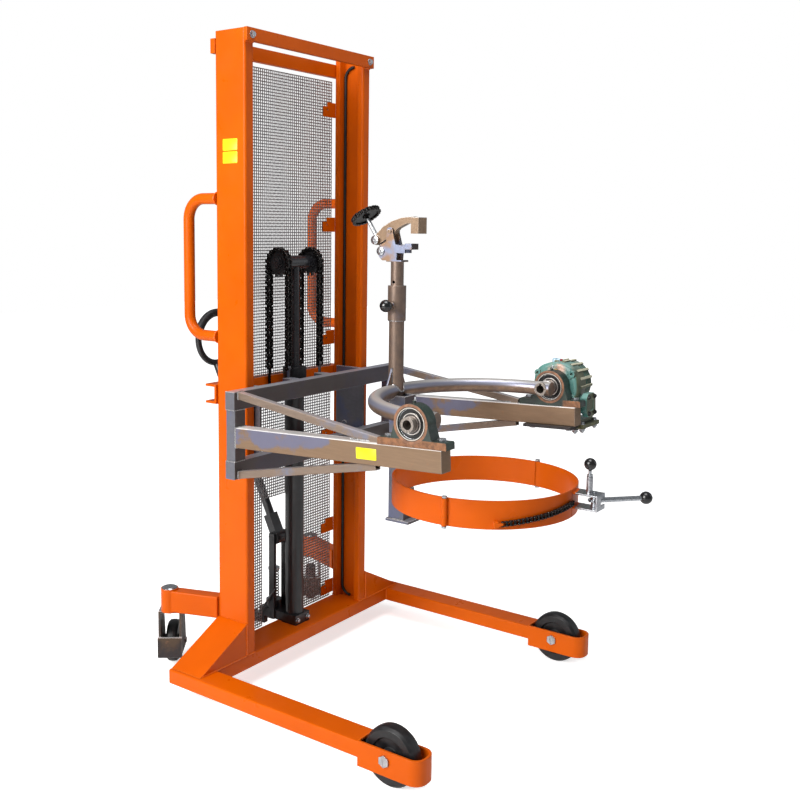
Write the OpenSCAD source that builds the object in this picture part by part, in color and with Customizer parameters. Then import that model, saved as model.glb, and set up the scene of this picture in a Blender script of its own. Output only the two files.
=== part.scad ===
// Drum handler: a pedestrian lift truck with a tilting yoke, a rim clamp and a hinged drum band.
// The machine is drawn about its own planes: X runs across, -Y points to the drum, Z is up, Y = 0 is
// the front face of the mast. Every piece is then moved so that the whole stands on its middle.

/* [Mast] */
// Width of the mast over both columns
mast_w = 688; // [640:1:740]
// Height of the column tops above the floor
mast_top = 2240; // [2150:5:2400]
// Depth of a column from front to back
column_depth = 136; // [128:1:144]
// Width of a column flange
column_flange = 43; // [40:1:48]
// Thickness of a column flange
column_flange_t = 25; // [20:1:26]
// Thickness of a column web
column_web = 9; // [7:0.5:11]
// Rounding of the column edges
column_round = 8; // [3:1:11]
// Depth of the top front bar in height
top_bar_h = 43; // [30:1:60]
// Thickness of the top bars
top_bar_t = 14; // [8:1:20]
// Underside of the middle bar above the floor
middle_bar_z = 990; // [900:5:1000]
// Height of the middle bar
middle_bar_h = 67; // [50:1:70]
// Depth of the middle bar
middle_bar_d = 50; // [30:1:60]
// Wall of the middle bar
middle_bar_wall = 8; // [5:1:10]
// Diameter of the push handle tube
handle_d = 38; // [25:1:42]
// Height of a push handle over its tube
handle_h = 507; // [400:1:600]
// Underside of a push handle above the floor
handle_z = 1204; // [1150:1:1250]
// Reach of a push handle behind the column
handle_reach = 158; // [120:1:180]
// Bend radius of a push handle at the tube's middle
handle_bend = 70; // [45:1:90]

/* [Guard] */
// Thickness of the guard nets
guard_t = 3; // [2:0.5:5]
// Width of a net bar
guard_bar = 5; // [3:0.5:8]
// Number of gaps across a net
guard_across = 12; // [6:1:14]
// Number of gaps up the upper net
guard_up = 14; // [8:1:14]
// Number of gaps up the lower net
guard_low = 10; // [6:1:10]
// Half the width of the slot for the pump in the lower net
slot_half = 112; // [100:1:125]
// Height of the slot's top above the floor
slot_top = 600; // [560:1:640]
// Height of a guard tab
tab_h = 55; // [40:1:70]
// Reach of a guard tab from its column
tab_w = 72; // [40:1:90]

/* [Base] */
// Height of the underside of the base above the floor
base_z = 68; // [55:1:75]
// Height of the base tubes
base_h = 50; // [45:1:60]
// Distance from the middle to each leg's middle
track_x = 535; // [520:1:560]
// Width of a leg
leg_w = 90; // [84:1:100]
// Wall of the base tubes
base_wall = 6; // [4:0.5:8]
// Reach of the leg tubes in front of the mast
leg_reach = 655; // [600:5:700]
// Length of a front wheel housing
housing_l = 216; // [210:1:230]
// Height of a front wheel housing
housing_h = 76; // [70:1:84]
// Wall of a front wheel housing
housing_wall = 8; // [5:1:10]
// Rounding of a wheel housing's nose
housing_round = 38; // [20:1:42]
// Diameter of a front wheel
wheel_d = 180; // [160:1:190]
// Width of a front wheel
wheel_w = 50; // [40:1:60]
// Diameter of a front wheel axle
axle_d = 20; // [16:1:25]
// Height of an outrigger gusset on the column
gusset_h = 114; // [90:1:130]

/* [Rear casters] */
// Distance from the middle to a swivel axis
swivel_x = 396; // [380:1:410]
// Distance from the mast's front face back to the swivel axes
swivel_y = 330; // [310:1:350]
// Diameter of a swivel boss
boss_d = 62; // [56:1:70]
// Height of a swivel boss
boss_h = 86; // [70:1:95]
// Underside of a swivel boss above the floor
boss_z = 220; // [215:1:230]
// Width of a rear arm
rear_arm_w = 50; // [40:1:54]
// Diameter of a kingpin
kingpin_d = 24; // [18:1:30]
// Diameter of a caster wheel
caster_d = 150; // [130:1:160]
// Width of a caster wheel
caster_w = 40; // [30:1:46]
// Trail of a caster wheel behind its swivel axis
trail = 82; // [70:1:90]
// Direction in which the casters trail, in degrees from X
trail_angle = 38; // [0:1:180]
// Inner width of a caster fork
fork_gap = 68; // [64:1:76]
// Wall of a caster fork
fork_wall = 7; // [5:0.5:9]

/* [Lift] */
// Outer diameter of the cylinder
cylinder_d = 70; // [64:1:76]
// Inner diameter of the cylinder
cylinder_bore = 56; // [50:1:60]
// Height of the gland's underside above the floor
gland_z = 1045; // [1000:5:1060]
// Height of the gland
gland_h = 45; // [30:1:60]
// Diameter of the ram
ram_d = 36; // [30:1:42]
// Height of the sprocket axis above the floor
sprocket_z = 1472; // [1440:1:1500]
// Distance from the middle to each sprocket's middle
sprocket_x = 88; // [80:1:100]
// Pitch of the lift chains
lift_pitch = 19.05; // [15:0.05:22]
// Number of teeth of a lift sprocket
sprocket_teeth = 15; // [13:2:17]
// Number of straight links in each run of a lift chain
lift_links = 20; // [14:2:20]
// Diameter of the sprocket axle
sprocket_axle_d = 25; // [18:1:30]

/* [Carriage] */
// Half the width of the carriage
carriage_half = 461; // [440:1:480]
// Distance of the carriage's front face in front of the mast
carriage_y = 60; // [50:1:70]
// Depth of the carriage tubes
cross_d = 40; // [35:1:45]
// Height of the carriage tubes
cross_h = 60; // [50:1:70]
// Wall of the carriage tubes
cross_wall = 4; // [3:0.5:6]
// Underside of the upper cross tube above the floor
upper_z = 1005; // [990:1:1020]
// Underside of the lower cross tube above the floor
lower_z = 775; // [760:1:790]
// Width of an arm
arm_w = 50; // [44:1:56]
// Height of an arm
arm_h = 67; // [60:1:76]
// Underside of an arm at the carriage above the floor
arm_z = 882; // [870:1:895]
// Length of an arm in front of the carriage
arm_l = 790; // [770:1:820]
// Upward slope of the arms towards the front
arm_slope = 2.5; // [1.5:0.1:3]
// Side of the square brace tubes
brace_w = 25; // [20:1:30]
// Distance from the carriage to where the braces meet the arms
brace_reach = 545; // [480:5:560]
// Diameter of a guide roller
roller_d = 85; // [76:0.5:85.4]
// Width of a guide roller
roller_w = 19; // [16:1:20]
// Height of the lower guide rollers above the floor
roller_low_z = 835; // [820:1:850]
// Height of the upper guide rollers above the floor
roller_high_z = 1015; // [1000:1:1020]

/* [Tilt] */
// Distance of the tilt axis in front of the mast
tilt_y = 745; // [735:1:755]
// Height of the tilt axis above the floor
tilt_z = 1046; // [1040:1:1052]
// Radius of the yoke at the middle of its tube
yoke_r = 371; // [360:1:376]
// Diameter of the yoke tube
yoke_d = 48; // [42:1:54]
// Wall of the yoke tube
yoke_wall = 5; // [3:0.5:7]
// Diameter of a stub shaft
stub_d = 45; // [40:1:46]
// Bore of a stub shaft
stub_bore = 29; // [20:1:32]
// Distance from the middle to each plummer block's middle
block_x = 440; // [436:1:444]
// Width of a plummer block
block_w = 46; // [40:1:50]
// Radius of a plummer block's round housing
block_r = 58; // [54:1:62]
// Length of a plummer block's foot
block_l = 236; // [220:1:250]
// Diameter of a bearing's outer ring
bearing_d = 90; // [84:1:96]
// Width of a bearing's outer ring
bearing_w = 30; // [24:1:36]

/* [Gearbox] */
// Distance from the middle to the gearbox housing's inner face
gear_x = 467; // [465:1:472]
// Width of the gearbox housing without its cover
gear_w = 92; // [84:1:100]
// Radius of the gearbox's round case
gear_r = 82; // [76:1:86]
// Thickness of the ribbed cover
gear_cover = 46; // [38:1:52]
// Height of the worm axis above the floor
worm_z = 976; // [968:1:980]
// Diameter of the worm shaft
worm_d = 25; // [23:1:28]
// Diameter of the worm shaft's free end
worm_end_d = 22; // [18:1:22]
// Length of the worm shaft's free end
worm_end_l = 38; // [30:1:44]
// Length of the worm housing
worm_l = 196; // [180:1:210]
// Width of the plate under the gearbox, along the arm
gear_plate_w = 182; // [170:1:200]

/* [Post] */
// Distance of the post in front of the mast
post_y = 374; // [371:1:378]
// Diameter of the lower post tube
post_d = 52; // [48:1:56]
// Diameter of the sleeve
sleeve_d = 62; // [58:1:68]
// Underside of the sleeve above the floor
sleeve_z = 1289; // [1270:1:1300]
// Top of the sleeve above the floor
sleeve_top = 1406; // [1395:1:1412]
// Outer diameter of the inner tube
inner_d = 44; // [40:1:46]
// Top of the inner tube above the floor
inner_top = 1486; // [1480:1:1492]
// Height of the plunger above the floor
plunger_z = 1340; // [1330:1:1350]
// Diameter of the plunger's ball
knob_d = 42; // [36:1:46]
// Spacing of the index holes in the inner tube
index_step = 26; // [25:1:27]

/* [Rim clamp] */
// Thickness of a jaw plate
jaw_t = 8; // [6:0.5:9]
// Gap between the two plates of the lower jaw
jaw_gap = 26; // [24:1:30]
// Diameter of the clamp screw
screw_d = 14; // [10:1:16]
// Number of links in the hand wheel's rim chain
rim_links = 24; // [20:2:26]
// Pitch of the hand wheel's and the band's chain
small_pitch = 12.7; // [12:0.1:13]

/* [Drum band] */
// Distance of the band's middle in front of the mast
band_y = 728; // [724:1:732]
// Inner radius of the band
band_r = 295; // [288:1:298]
// Thickness of the band
band_t = 5; // [4:0.5:6]
// Height of the band
band_h = 87; // [80:1:95]
// Underside of the band above the floor
band_z = 715; // [705:1:725]
// Diameter of a band hinge pin
hinge_pin_d = 10; // [8:0.5:11]
// Angle of the left hinge seen from above
left_hinge = 187; // [184:1:192]
// Angle of the right hinge seen from above
right_hinge = 353; // [348:1:356]
// Angle at which the two front segments meet
meet_angle = 273.6; // [272:0.1:273.8]
// Thickness of the latch bracket
latch_t = 5; // [4:0.5:6]
// Number of links in the band's chain
band_links = 25; // [19:2:25]
// Number of teeth of the latch wheel
latch_teeth = 9; // [8:1:10]
// Diameter of the latch lever
lever_d = 16; // [12:1:18]
// Length of the latch lever from its pivot
lever_l = 172; // [150:1:190]
// Diameter of the lever's ball
lever_ball = 40; // [34:1:44]

/* [Pump] */
// Distance of the pump's middle behind the mast's front face
pump_y = 182; // [178:1:186]
// Height of the pump spring's seat above the floor
spring_z = 181; // [176:1:186]
// Height of the spring
spring_h = 116; // [100:1:120]
// Outer diameter of the spring
spring_d = 40; // [36:1:42]
// Diameter of the spring wire
spring_wire = 5; // [4:0.5:5.5]
// Number of turns of the spring
spring_turns = 10; // [7:1:10]
// Height of the tiller pivot above the floor
tiller_z = 429; // [420:1:440]
// Length of the tiller from its pivot to its ring
tiller_l = 716; // [660:2:720]
// Backward lean of the tiller in degrees
tiller_lean = 26.5; // [22:0.1:28]
// Radius of the tiller's ring at the middle of its tube
ring_r = 98; // [84:1:104]
// Diameter of the ring's tube
ring_d = 24; // [18:1:25]
// Diameter of the ring's grip
grip_d = 31; // [27:1:34]

/* [Fits] */
// Radial clearance of a shaft that turns or slides in its bore
run_gap = 0.06; // [0.03:0.01:0.1]
// Clearance between pieces that move past each other
free_gap = 0.5; // [0.35:0.05:0.6]

/* [Hidden] */
$fn = 48;
eps = 0.01;
slack = 1;

// Heights and planes that several pieces share.
base_top = base_z + base_h;
column_inner = mast_w / 2 - column_flange;
channel_floor = mast_w / 2 - column_web;
channel_gap = column_depth - 2 * column_flange_t;
column_mid_y = column_depth / 2;
beam_half = track_x - leg_w / 2;
wheel_z = wheel_d / 2;
wheel_y = -(leg_reach + wheel_z + 6);
housing_z = wheel_z + 30 - housing_h;
housing_front = leg_reach + housing_l;
axle_head = 6;
net_y = column_depth;
net_x = column_inner - 12;
upper_net_low = middle_bar_z + middle_bar_h + 3;
upper_net_top = mast_top - 88;
lower_net_low = base_top;
lower_net_top = middle_bar_z - 2;

// Chains: roller radius, plate half height, inner width, plate thickness and pin radius by pitch.
function roller_radius(pitch) = 0.313 * pitch;
function plate_half(pitch) = 0.472 * pitch;
function inner_half(pitch) = 0.33 * pitch;
function plate_thick(pitch) = 0.125 * pitch;
function pin_radius(pitch) = 0.156 * pitch;
function pitch_radius(pitch, teeth) = pitch / (2 * sin(180 / teeth));
chain_gap = 0.35;

lift_r = pitch_radius(lift_pitch, sprocket_teeth);
sprocket_y = column_mid_y + 11;
first_drop = lift_r * sin(180 / sprocket_teeth) + lift_pitch / 2;
wrap_links = (sprocket_teeth - 1) / 2;
wrap_start = (180 - wrap_links * 360 / sprocket_teeth) / 2;
strand_top_z = lift_r * sin(wrap_start) - sqrt(pow(lift_pitch, 2) - pow(lift_r * (1 - cos(wrap_start)), 2));
chain_end_z = sprocket_z + strand_top_z - (lift_links - 1) * lift_pitch;

// Carriage and tilt.
cross_back = -(carriage_y - cross_d);
arm_x = carriage_half - arm_w / 2;
arm_top_at_tilt = arm_z + arm_h / 2 * (1 + 1 / cos(arm_slope)) + (tilt_y - carriage_y) * tan(arm_slope);
block_h = (tilt_z - arm_top_at_tilt) * cos(arm_slope);
block_foot_y = tilt_y - block_l / 2 - 1;
plate_x = column_inner - 12;
plate_t = 10;
gear_plate_t = 10;
gear_base_z = tilt_z - block_h - arm_h - gear_plate_t;
worm_x = gear_x + 53;
gear_outer = gear_x + gear_w + gear_cover;

// Rim clamp, as distances in front of the mast and heights.
pivot_y = post_y - 19;
pivot_z = 1588;
lower_pin_y = pivot_y - 35.5;
lower_pin_z = 1521;
screw_lean = 33.5;
screw_pin_l = 44.4;
upper_pin_y = lower_pin_y - screw_pin_l * sin(screw_lean);
upper_pin_z = lower_pin_z + screw_pin_l * cos(screw_lean);
clamp_shift = inner_top - 1486;
wheel_along = 143;
rim_r = pitch_radius(small_pitch, rim_links);

// Drum band.
band_outer = band_r + band_t;
hinge_r = band_outer + 6.5;
knuckle_r = 9;
knuckle_h = band_h / 3;
knuckle_inset = 1.5;
latch_wheel_x = 66;
latch_wheel_y = band_y + 354;
latch_mid_z = band_z + 53;
latch_half = 25;
latch_pin_x = 48;
latch_pin_y = band_y + 343;
lever_angle = -42;
latch_r = pitch_radius(small_pitch, latch_teeth);
band_chain_r = band_outer + plate_half(small_pitch) + 0.4;
band_chain_start = 220;
band_chain_climb = 34;

// Pump.
plunger_r = 9;
tiller_y = pump_y - 23;
tiller_hub_r = 24;
tiller_pin_r = 8;

// The part's own origin: the middle of the floor under its box.
reach_left = track_x + leg_w / 2 + axle_head;
reach_right = gear_outer;
reach_front = latch_wheel_y + lever_l * cos(90 + lever_angle) + lever_ball / 2;
reach_back = tiller_y + tiller_l * sin(tiller_lean) + grip_d / 2;
centre_x = (reach_right - reach_left) / 2;
centre_y = (reach_back - reach_front) / 2;

module in_frame() {
    translate([-centre_x, -centre_y, 0]) children();
}

// Shapes that repeat.
module on_side(side) {
    if (side < 0) mirror([1, 0, 0]) children();
    else children();
}

module both_sides() {
    children();
    mirror([1, 0, 0]) children();
}

module round_rect(w, h, r) {
    square([w - 2 * r, h], center = true);
    square([w, h - 2 * r], center = true);
    for (sx = [-1, 1], sy = [-1, 1]) translate([sx * (w / 2 - r), sy * (h / 2 - r)]) circle(r);
}

module tube_section(w, h, wall, r = 5) {
    difference() {
        round_rect(w, h, r);
        square([w - 2 * wall, h - 2 * wall], center = true);
    }
}

// A profile drawn in the Y-Z plane and drawn out along X.
module along_x(length) {
    rotate([90, 0, 90]) linear_extrude(height = length) children();
}

// A profile drawn in the X-Z plane and drawn out towards -Y.
module along_front(length) {
    rotate([90, 0, 0]) linear_extrude(height = length) children();
}

module rod_x(r, length) {
    rotate([0, 90, 0]) cylinder(r = r, h = length);
}

module rod_y(r, length) {
    rotate([-90, 0, 0]) cylinder(r = r, h = length);
}

module hex_head(across, h) {
    cylinder(r = across / sqrt(3), h = h, $fn = 6);
}

// A bolt that stands along Z with its head's seat at z = 0 and its shank below.
module bolt(d, shank) {
    hex_head(1.6 * d, 0.65 * d);
    translate([0, 0, -shank]) cylinder(d = d, h = shank + eps);
}

// A figure of eight outline between two pins.
module link_outline(pitch, r) {
    circle(r);
    translate([pitch, 0]) circle(r);
    translate([0, -0.72 * r]) square([pitch, 1.44 * r]);
}

// Chain links lie along +X from their first pin, with their pins along Z.
module inner_link(pitch) {
    half = inner_half(pitch);
    t = plate_thick(pitch);
    difference() {
        union() {
            for (s = [0, 1]) translate([0, 0, s == 0 ? -half - t : half])
                linear_extrude(height = t) link_outline(pitch, plate_half(pitch));
            for (x = [0, pitch]) translate([x, 0, -half - eps])
                cylinder(r = roller_radius(pitch), h = 2 * (half + eps));
        }
        for (x = [0, pitch]) translate([x, 0, -half - t - 1])
            cylinder(r = pin_radius(pitch) + chain_gap, h = 2 * (half + t + 1));
    }
}

module outer_link(pitch) {
    start = inner_half(pitch) + plate_thick(pitch) + chain_gap;
    t = plate_thick(pitch);
    for (s = [0, 1]) translate([0, 0, s == 0 ? -start - t : start])
        linear_extrude(height = t) link_outline(pitch, plate_half(pitch) - 0.4);
    for (x = [0, pitch]) translate([x, 0, -start - t - 1])
        cylinder(r = pin_radius(pitch), h = 2 * (start + t + 1));
}

module chain_link(pitch, index) {
    if (index % 2 == 0) inner_link(pitch);
    else outer_link(pitch);
}

// A toothed disc about Z whose tooth gaps seat rollers, the first gap at the angle "first".
module toothed_disc(pitch, teeth, first, h) {
    r = pitch_radius(pitch, teeth);
    seat = roller_radius(pitch) + 1.5 * chain_gap;
    linear_extrude(height = h, center = true) difference() {
        circle(r + 0.28 * pitch);
        for (i = [0:teeth - 1]) rotate(first + i * 360 / teeth) translate([r, 0]) {
            circle(seat);
            polygon([[0, -seat], [pitch, -seat - 0.42 * pitch], [pitch, seat + 0.42 * pitch], [0, seat]]);
        }
    }
}

// Base frame.
module cross_beam() in_frame() color("darkorange") {
    translate([-beam_half, column_mid_y, base_z + base_h / 2])
        along_x(2 * beam_half) tube_section(column_depth, base_h, base_wall);
}

module housing_outline(inset) {
    w = leg_w - 2 * inset;
    r = housing_round - inset;
    back = -leg_reach;
    front = -housing_front + inset;
    translate([-w / 2, front + r]) square([w, back - front - r]);
    translate([-w / 2 + r, front]) square([w - 2 * r, r + eps]);
    for (s = [-1, 1]) translate([s * (w / 2 - r), front + r]) circle(r);
}

module leg() {
    translate([track_x, column_depth, base_z + base_h / 2])
        along_front(column_depth + leg_reach + eps) tube_section(leg_w, base_h, base_wall);
    translate([track_x - leg_w / 2 + base_wall / 2, column_depth - base_wall, base_z + base_wall / 2])
        cube([leg_w - base_wall, base_wall, base_h - base_wall]);
    translate([track_x, 0, 0]) difference() {
        translate([0, 0, housing_z]) linear_extrude(height = housing_h) difference() {
            housing_outline(0);
            housing_outline(housing_wall);
        }
        translate([-leg_w, wheel_y, wheel_z]) rod_x(axle_d / 2 + run_gap, 2 * leg_w);
    }
}

module front_legs() in_frame() color("darkorange") both_sides() leg();

module gusset_outline(inset) {
    foot = track_x + leg_w / 2 - 12;
    slope = (foot - mast_w / 2) / gusset_h;
    polygon([
        [mast_w / 2, base_top + inset],
        [foot - inset * (slope + 1.6), base_top + inset],
        [mast_w / 2, base_top + gusset_h - inset * 1.4]
    ]);
}

module outrigger_gussets() in_frame() color("darkorange") both_sides() difference() {
    translate([0, column_depth, 0]) along_front(column_depth) gusset_outline(0);
    translate([-slack, column_depth - base_wall, 0]) along_front(column_depth - 2 * base_wall)
        gusset_outline(base_wall);
}

// Rear arms run from the columns' back faces to the swivel bosses.
arm_dx = swivel_x - (mast_w / 2 - 17);
arm_dy = swivel_y - column_depth;
rear_arm_angle = atan2(arm_dx, arm_dy);
rear_arm_l = norm([arm_dx, arm_dy]);
boss_mid = boss_z + boss_h / 2;

module rear_arms() in_frame() color("darkorange") both_sides() difference() {
    union() {
        translate([swivel_x, swivel_y, boss_z]) cylinder(d = boss_d, h = boss_h);
        translate([swivel_x, swivel_y, boss_mid - 1]) rotate([0, 0, -rear_arm_angle])
            along_front(rear_arm_l + rear_arm_w) tube_section(rear_arm_w, boss_h - 8, base_wall);
    }
    translate([0, column_depth - boss_d - 100, 0]) cube([mast_w, boss_d + 100, 2 * boss_mid]);
    translate([swivel_x, swivel_y, boss_z - slack])
        cylinder(d = kingpin_d + 2 * run_gap, h = boss_h - 6);
}

module boss_caps() in_frame() color("silver") both_sides() {
    translate([swivel_x, swivel_y, boss_z + boss_h])
        cylinder(r1 = boss_d / 2 - 2, r2 = boss_d / 2 - 7, h = 4);
}

// Mast.
module column() {
    translate([mast_w / 2 - column_flange / 2, column_mid_y, base_top])
        linear_extrude(height = mast_top - base_top) difference() {
            round_rect(column_flange, column_depth, column_round);
            translate([-column_flange / 2 - slack, -channel_gap / 2])
                square([column_flange - column_web + slack, channel_gap]);
        }
}

module mast_columns() in_frame() color("darkorange") both_sides() column();

module mast_bars() in_frame() color("darkorange") {
    middle_bar();
    difference() {
        translate([-mast_w / 2 - 4, -top_bar_t, mast_top - top_bar_h])
            cube([mast_w + 8, top_bar_t, top_bar_h]);
        for (s = [-1, 1])
            translate([s * (mast_w / 2 - column_flange / 2), -top_bar_t - slack, mast_top - top_bar_h / 2])
                rod_y(5, 4);
    }
    translate([-mast_w / 2, column_depth, mast_top - 70]) cube([mast_w, top_bar_t + 6, 48]);
}

module middle_bar() {
    translate([-mast_w / 2 - 6, column_depth, middle_bar_z]) along_x(mast_w + 12) difference() {
        square([middle_bar_d, middle_bar_h]);
        translate([middle_bar_wall, middle_bar_wall])
            square([middle_bar_d, middle_bar_h - 2 * middle_bar_wall]);
    }
}

module push_handle() {
    x = mast_w / 2 - 9;
    r = handle_d / 2;
    low = handle_z + r;
    high = handle_z + handle_h - r;
    straight = handle_reach - handle_bend - r;
    for (z = [low, high]) translate([x, column_depth, z]) rod_y(r, straight);
    translate([x, column_depth + straight + handle_bend, low + handle_bend])
        cylinder(r = r, h = high - low - 2 * handle_bend);
    translate([x, column_depth + straight, low + handle_bend]) rotate([0, 90, 0]) rotate([0, 0, 0])
        rotate_extrude(angle = 90) translate([handle_bend, 0]) circle(r);
    translate([x, column_depth + straight, high - handle_bend]) rotate([0, 90, 0]) rotate([0, 0, 90])
        rotate_extrude(angle = 90) translate([handle_bend, 0]) circle(r);
}

module push_handles() in_frame() color("darkorange") both_sides() push_handle();

// Guard nets: flat sheets with rows of square gaps.
module net(low, top, across, up) {
    w = 2 * net_x;
    h = top - low;
    step_x = (w - guard_bar) / across;
    step_z = (h - guard_bar) / up;
    translate([0, net_y + guard_t, 0]) along_front(guard_t) difference() {
        translate([-net_x, low]) square([w, h]);
        for (i = [0:across - 1], k = [0:up - 1])
            translate([-net_x + guard_bar + i * step_x, low + guard_bar + k * step_z])
                square([step_x - guard_bar, step_z - guard_bar]);
    }
}

module upper_guard() in_frame() color("gainsboro") net(upper_net_low, upper_net_top, guard_across, guard_up);

module lower_guard() in_frame() color("gainsboro") difference() {
    net(lower_net_low, lower_net_top, guard_across, guard_low);
    translate([-slot_half, net_y - slack, lower_net_low - slack])
        cube([2 * slot_half, guard_t + 2 * slack, slot_top - lower_net_low + slack]);
}

tab_heights = [2045, 1610, 1172, 794, 416, 160];

module guard_tab() {
    difference() {
        square([tab_w, tab_h]);
        translate([0, tab_h - 16]) square([tab_w / 3, 17]);
        translate([tab_w / 3, tab_h / 2]) circle(4);
    }
}

module guard_tabs() in_frame() color("orangered") both_sides() for (z = tab_heights)
    translate([column_inner - tab_w, net_y, z - tab_h / 2]) along_front(4) guard_tab();

// The hose runs up inside the right column.
hose_d = 11;
hose_bend = 40;
module mast_hose() in_frame() color("black") {
    x = channel_floor - hose_d / 2 - 0.4;
    y = column_depth - column_flange_t - hose_d / 2 - 0.4;
    low = base_top + 46;
    high = mast_top - 74;
    translate([x, y, low]) cylinder(d = hose_d, h = high - low);
    translate([x, y - hose_bend, high]) rotate([90, 0, 90]) rotate_extrude(angle = 90)
        translate([hose_bend, 0]) circle(hose_d / 2);
    translate([x, y - hose_bend, low]) rotate([90, 0, 90]) rotate([0, 0, -90]) rotate_extrude(angle = 90)
        translate([hose_bend, 0]) circle(hose_d / 2);
}

// Anchors that hold the rear ends of the lift chains on the middle bar.
anchor_w = 2 * (inner_half(lift_pitch) - 1);
module chain_eye(z_low, z_pin) {
    eye_r = 7.5;
    difference() {
        union() {
            translate([-anchor_w / 2, 0, z_pin]) rod_x(eye_r, anchor_w);
            translate([0, 0, z_low]) cylinder(r = anchor_w / 2, h = z_pin - z_low);
        }
        translate([-anchor_w, 0, z_pin]) rod_x(pin_radius(lift_pitch) + chain_gap, 2 * anchor_w);
    }
}

module chain_anchors() in_frame() color("dimgray") both_sides()
    translate([sprocket_x, sprocket_y + lift_r, 0]) {
        chain_eye(middle_bar_z + 10, chain_end_z);
        translate([-20, -16, middle_bar_z + 8]) cube([40, column_depth - sprocket_y - lift_r + 16, 16]);
    }

// Cylinder with its gland and foot.
module lift_cylinder() in_frame() color("#1c1c1e") translate([0, sprocket_y, 0]) difference() {
    union() {
        translate([0, 0, base_top]) cylinder(d = cylinder_d, h = gland_z - base_top);
        translate([-40, -40, base_top]) cube([80, 68, 37]);
        translate([0, 0, gland_z]) cylinder(r = 43, h = gland_h);
        translate([30, -8, 622]) cube([14, 16, 16]);
    }
    translate([0, 0, base_top + 52]) cylinder(d = cylinder_bore, h = gland_z - base_top - 52);
    translate([0, 0, gland_z - slack]) cylinder(d = ram_d + 2 * run_gap, h = gland_h + 2 * slack);
    translate([-20, -41, base_top + 18]) rod_y(4, 6);
}

// Pump at the back of the cylinder's foot.
module pump_block() in_frame() color("#202022") difference() {
    union() {
        translate([-34, sprocket_y + 28, base_top]) cube([68, pump_y - sprocket_y - 4, 34]);
        translate([0, pump_y, base_top]) cylinder(r = 30, h = spring_z - base_top);
        for (s = [-1, 1]) translate([s * 35 - 5, tiller_y - 13, base_top])
            cube([10, 26, tiller_z - base_top + 20]);
        translate([-34, pump_y + 20, 88]) cube([20, 40, 34]);
        translate([14, pump_y + 20, 88]) cube([20, 40, 34]);
        translate([-34, pump_y + 20, base_top - eps]) cube([68, 24, 34]);
    }
    translate([0, pump_y, 70]) cylinder(r = plunger_r + run_gap, h = spring_z);
    translate([0, sprocket_y, base_top - slack]) cylinder(d = cylinder_d, h = mast_top);
    translate([-60, tiller_y, tiller_z]) rod_x(tiller_pin_r + run_gap, 120);
    translate([-60, pump_y + 46, 100]) rod_x(6 + run_gap, 120);
}

plunger_top = tiller_z - tiller_hub_r - free_gap;
module pump_plunger() in_frame() color("silver") translate([0, pump_y, 0]) {
    translate([0, 0, base_top + 20]) cylinder(r = plunger_r, h = plunger_top - base_top - 20);
    translate([0, 0, spring_z + spring_h + 0.4]) cylinder(r = spring_d / 2 + 2, h = 8);
}

// The spring is one tube wound about the plunger; it closes up evenly as the plunger goes down.
spring_r = (spring_d - spring_wire) / 2;
spring_steps = 8;
spring_sides = 6;
spring_rings = spring_turns * spring_steps;
spring_pitch = (spring_h - spring_wire) / spring_turns;

function spring_point(i, j) =
    let (turn = 360 * i / spring_steps, side = 360 * j / spring_sides, w = spring_wire / 2)
    [
        (spring_r + w * cos(side)) * cos(turn),
        (spring_r + w * cos(side)) * sin(turn),
        spring_wire / 2 + spring_pitch * i / spring_steps + w * sin(side)
    ];

spring_points = [for (i = [0:spring_rings], j = [0:spring_sides - 1]) spring_point(i, j)];
spring_faces = concat(
    [[for (j = [0:spring_sides - 1]) j]],
    [[for (j = [spring_sides - 1:-1:0]) spring_rings * spring_sides + j]],
    [for (i = [0:spring_rings - 1], j = [0:spring_sides - 1])
        let (a = i * spring_sides + j, b = i * spring_sides + (j + 1) % spring_sides)
        [a, a + spring_sides, b]],
    [for (i = [0:spring_rings - 1], j = [0:spring_sides - 1])
        let (a = i * spring_sides + j, b = i * spring_sides + (j + 1) % spring_sides)
        [b, a + spring_sides, b + spring_sides]]
);
// Least distance between points of the tube that lie at least half a turn apart along it.
spring_self_gap = min([for (i = [0:spring_rings - spring_steps], j = [0:spring_sides - 1],
    k = [-2:2], m = [0:spring_sides - 1])
    i + spring_steps + k <= spring_rings
        ? norm(spring_point(i, j) - spring_point(i + spring_steps + k, m)) : spring_h]);
echo(spring_self_gap = spring_self_gap);

module pump_spring() in_frame() color("#3a3a3c") translate([0, pump_y, spring_z + 0.2])
    polyhedron(points = spring_points, faces = spring_faces, convexity = 8);

// Tiller: a pivot block with the roller that drives the plunger, a leaning shaft and a ring.
ring_y = tiller_y + tiller_l * sin(tiller_lean);
ring_z = tiller_z + tiller_l * cos(tiller_lean) + ring_r;
module at_ring() translate([0, ring_y, ring_z]) rotate([90, 0, 0]) children();

module tiller() in_frame() color("#1e1e20") {
    translate([0, tiller_y, tiller_z]) {
        translate([-29, 0, 0]) rod_x(tiller_hub_r, 58);
        translate([-10, pump_y - tiller_y, -tiller_hub_r / 2]) rod_x(tiller_hub_r / 2, 20);
        translate([-41, 0, 0]) rod_x(tiller_pin_r, 82);
        rotate([-tiller_lean, 0, 0]) {
            translate([-22, -16, 16]) cube([44, 32, 76]);
            translate([0, 0, 80]) cylinder(r = 16, h = tiller_l - 80);
        }
    }
    at_ring() rotate_extrude() translate([ring_r, 0]) circle(ring_d / 2);
}

module tiller_grip() in_frame() color("#101012") at_ring() rotate([0, 0, 20]) rotate_extrude(angle = 140)
    translate([ring_r, 0]) difference() {
        circle(grip_d / 2);
        circle(ring_d / 2);
    }

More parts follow.
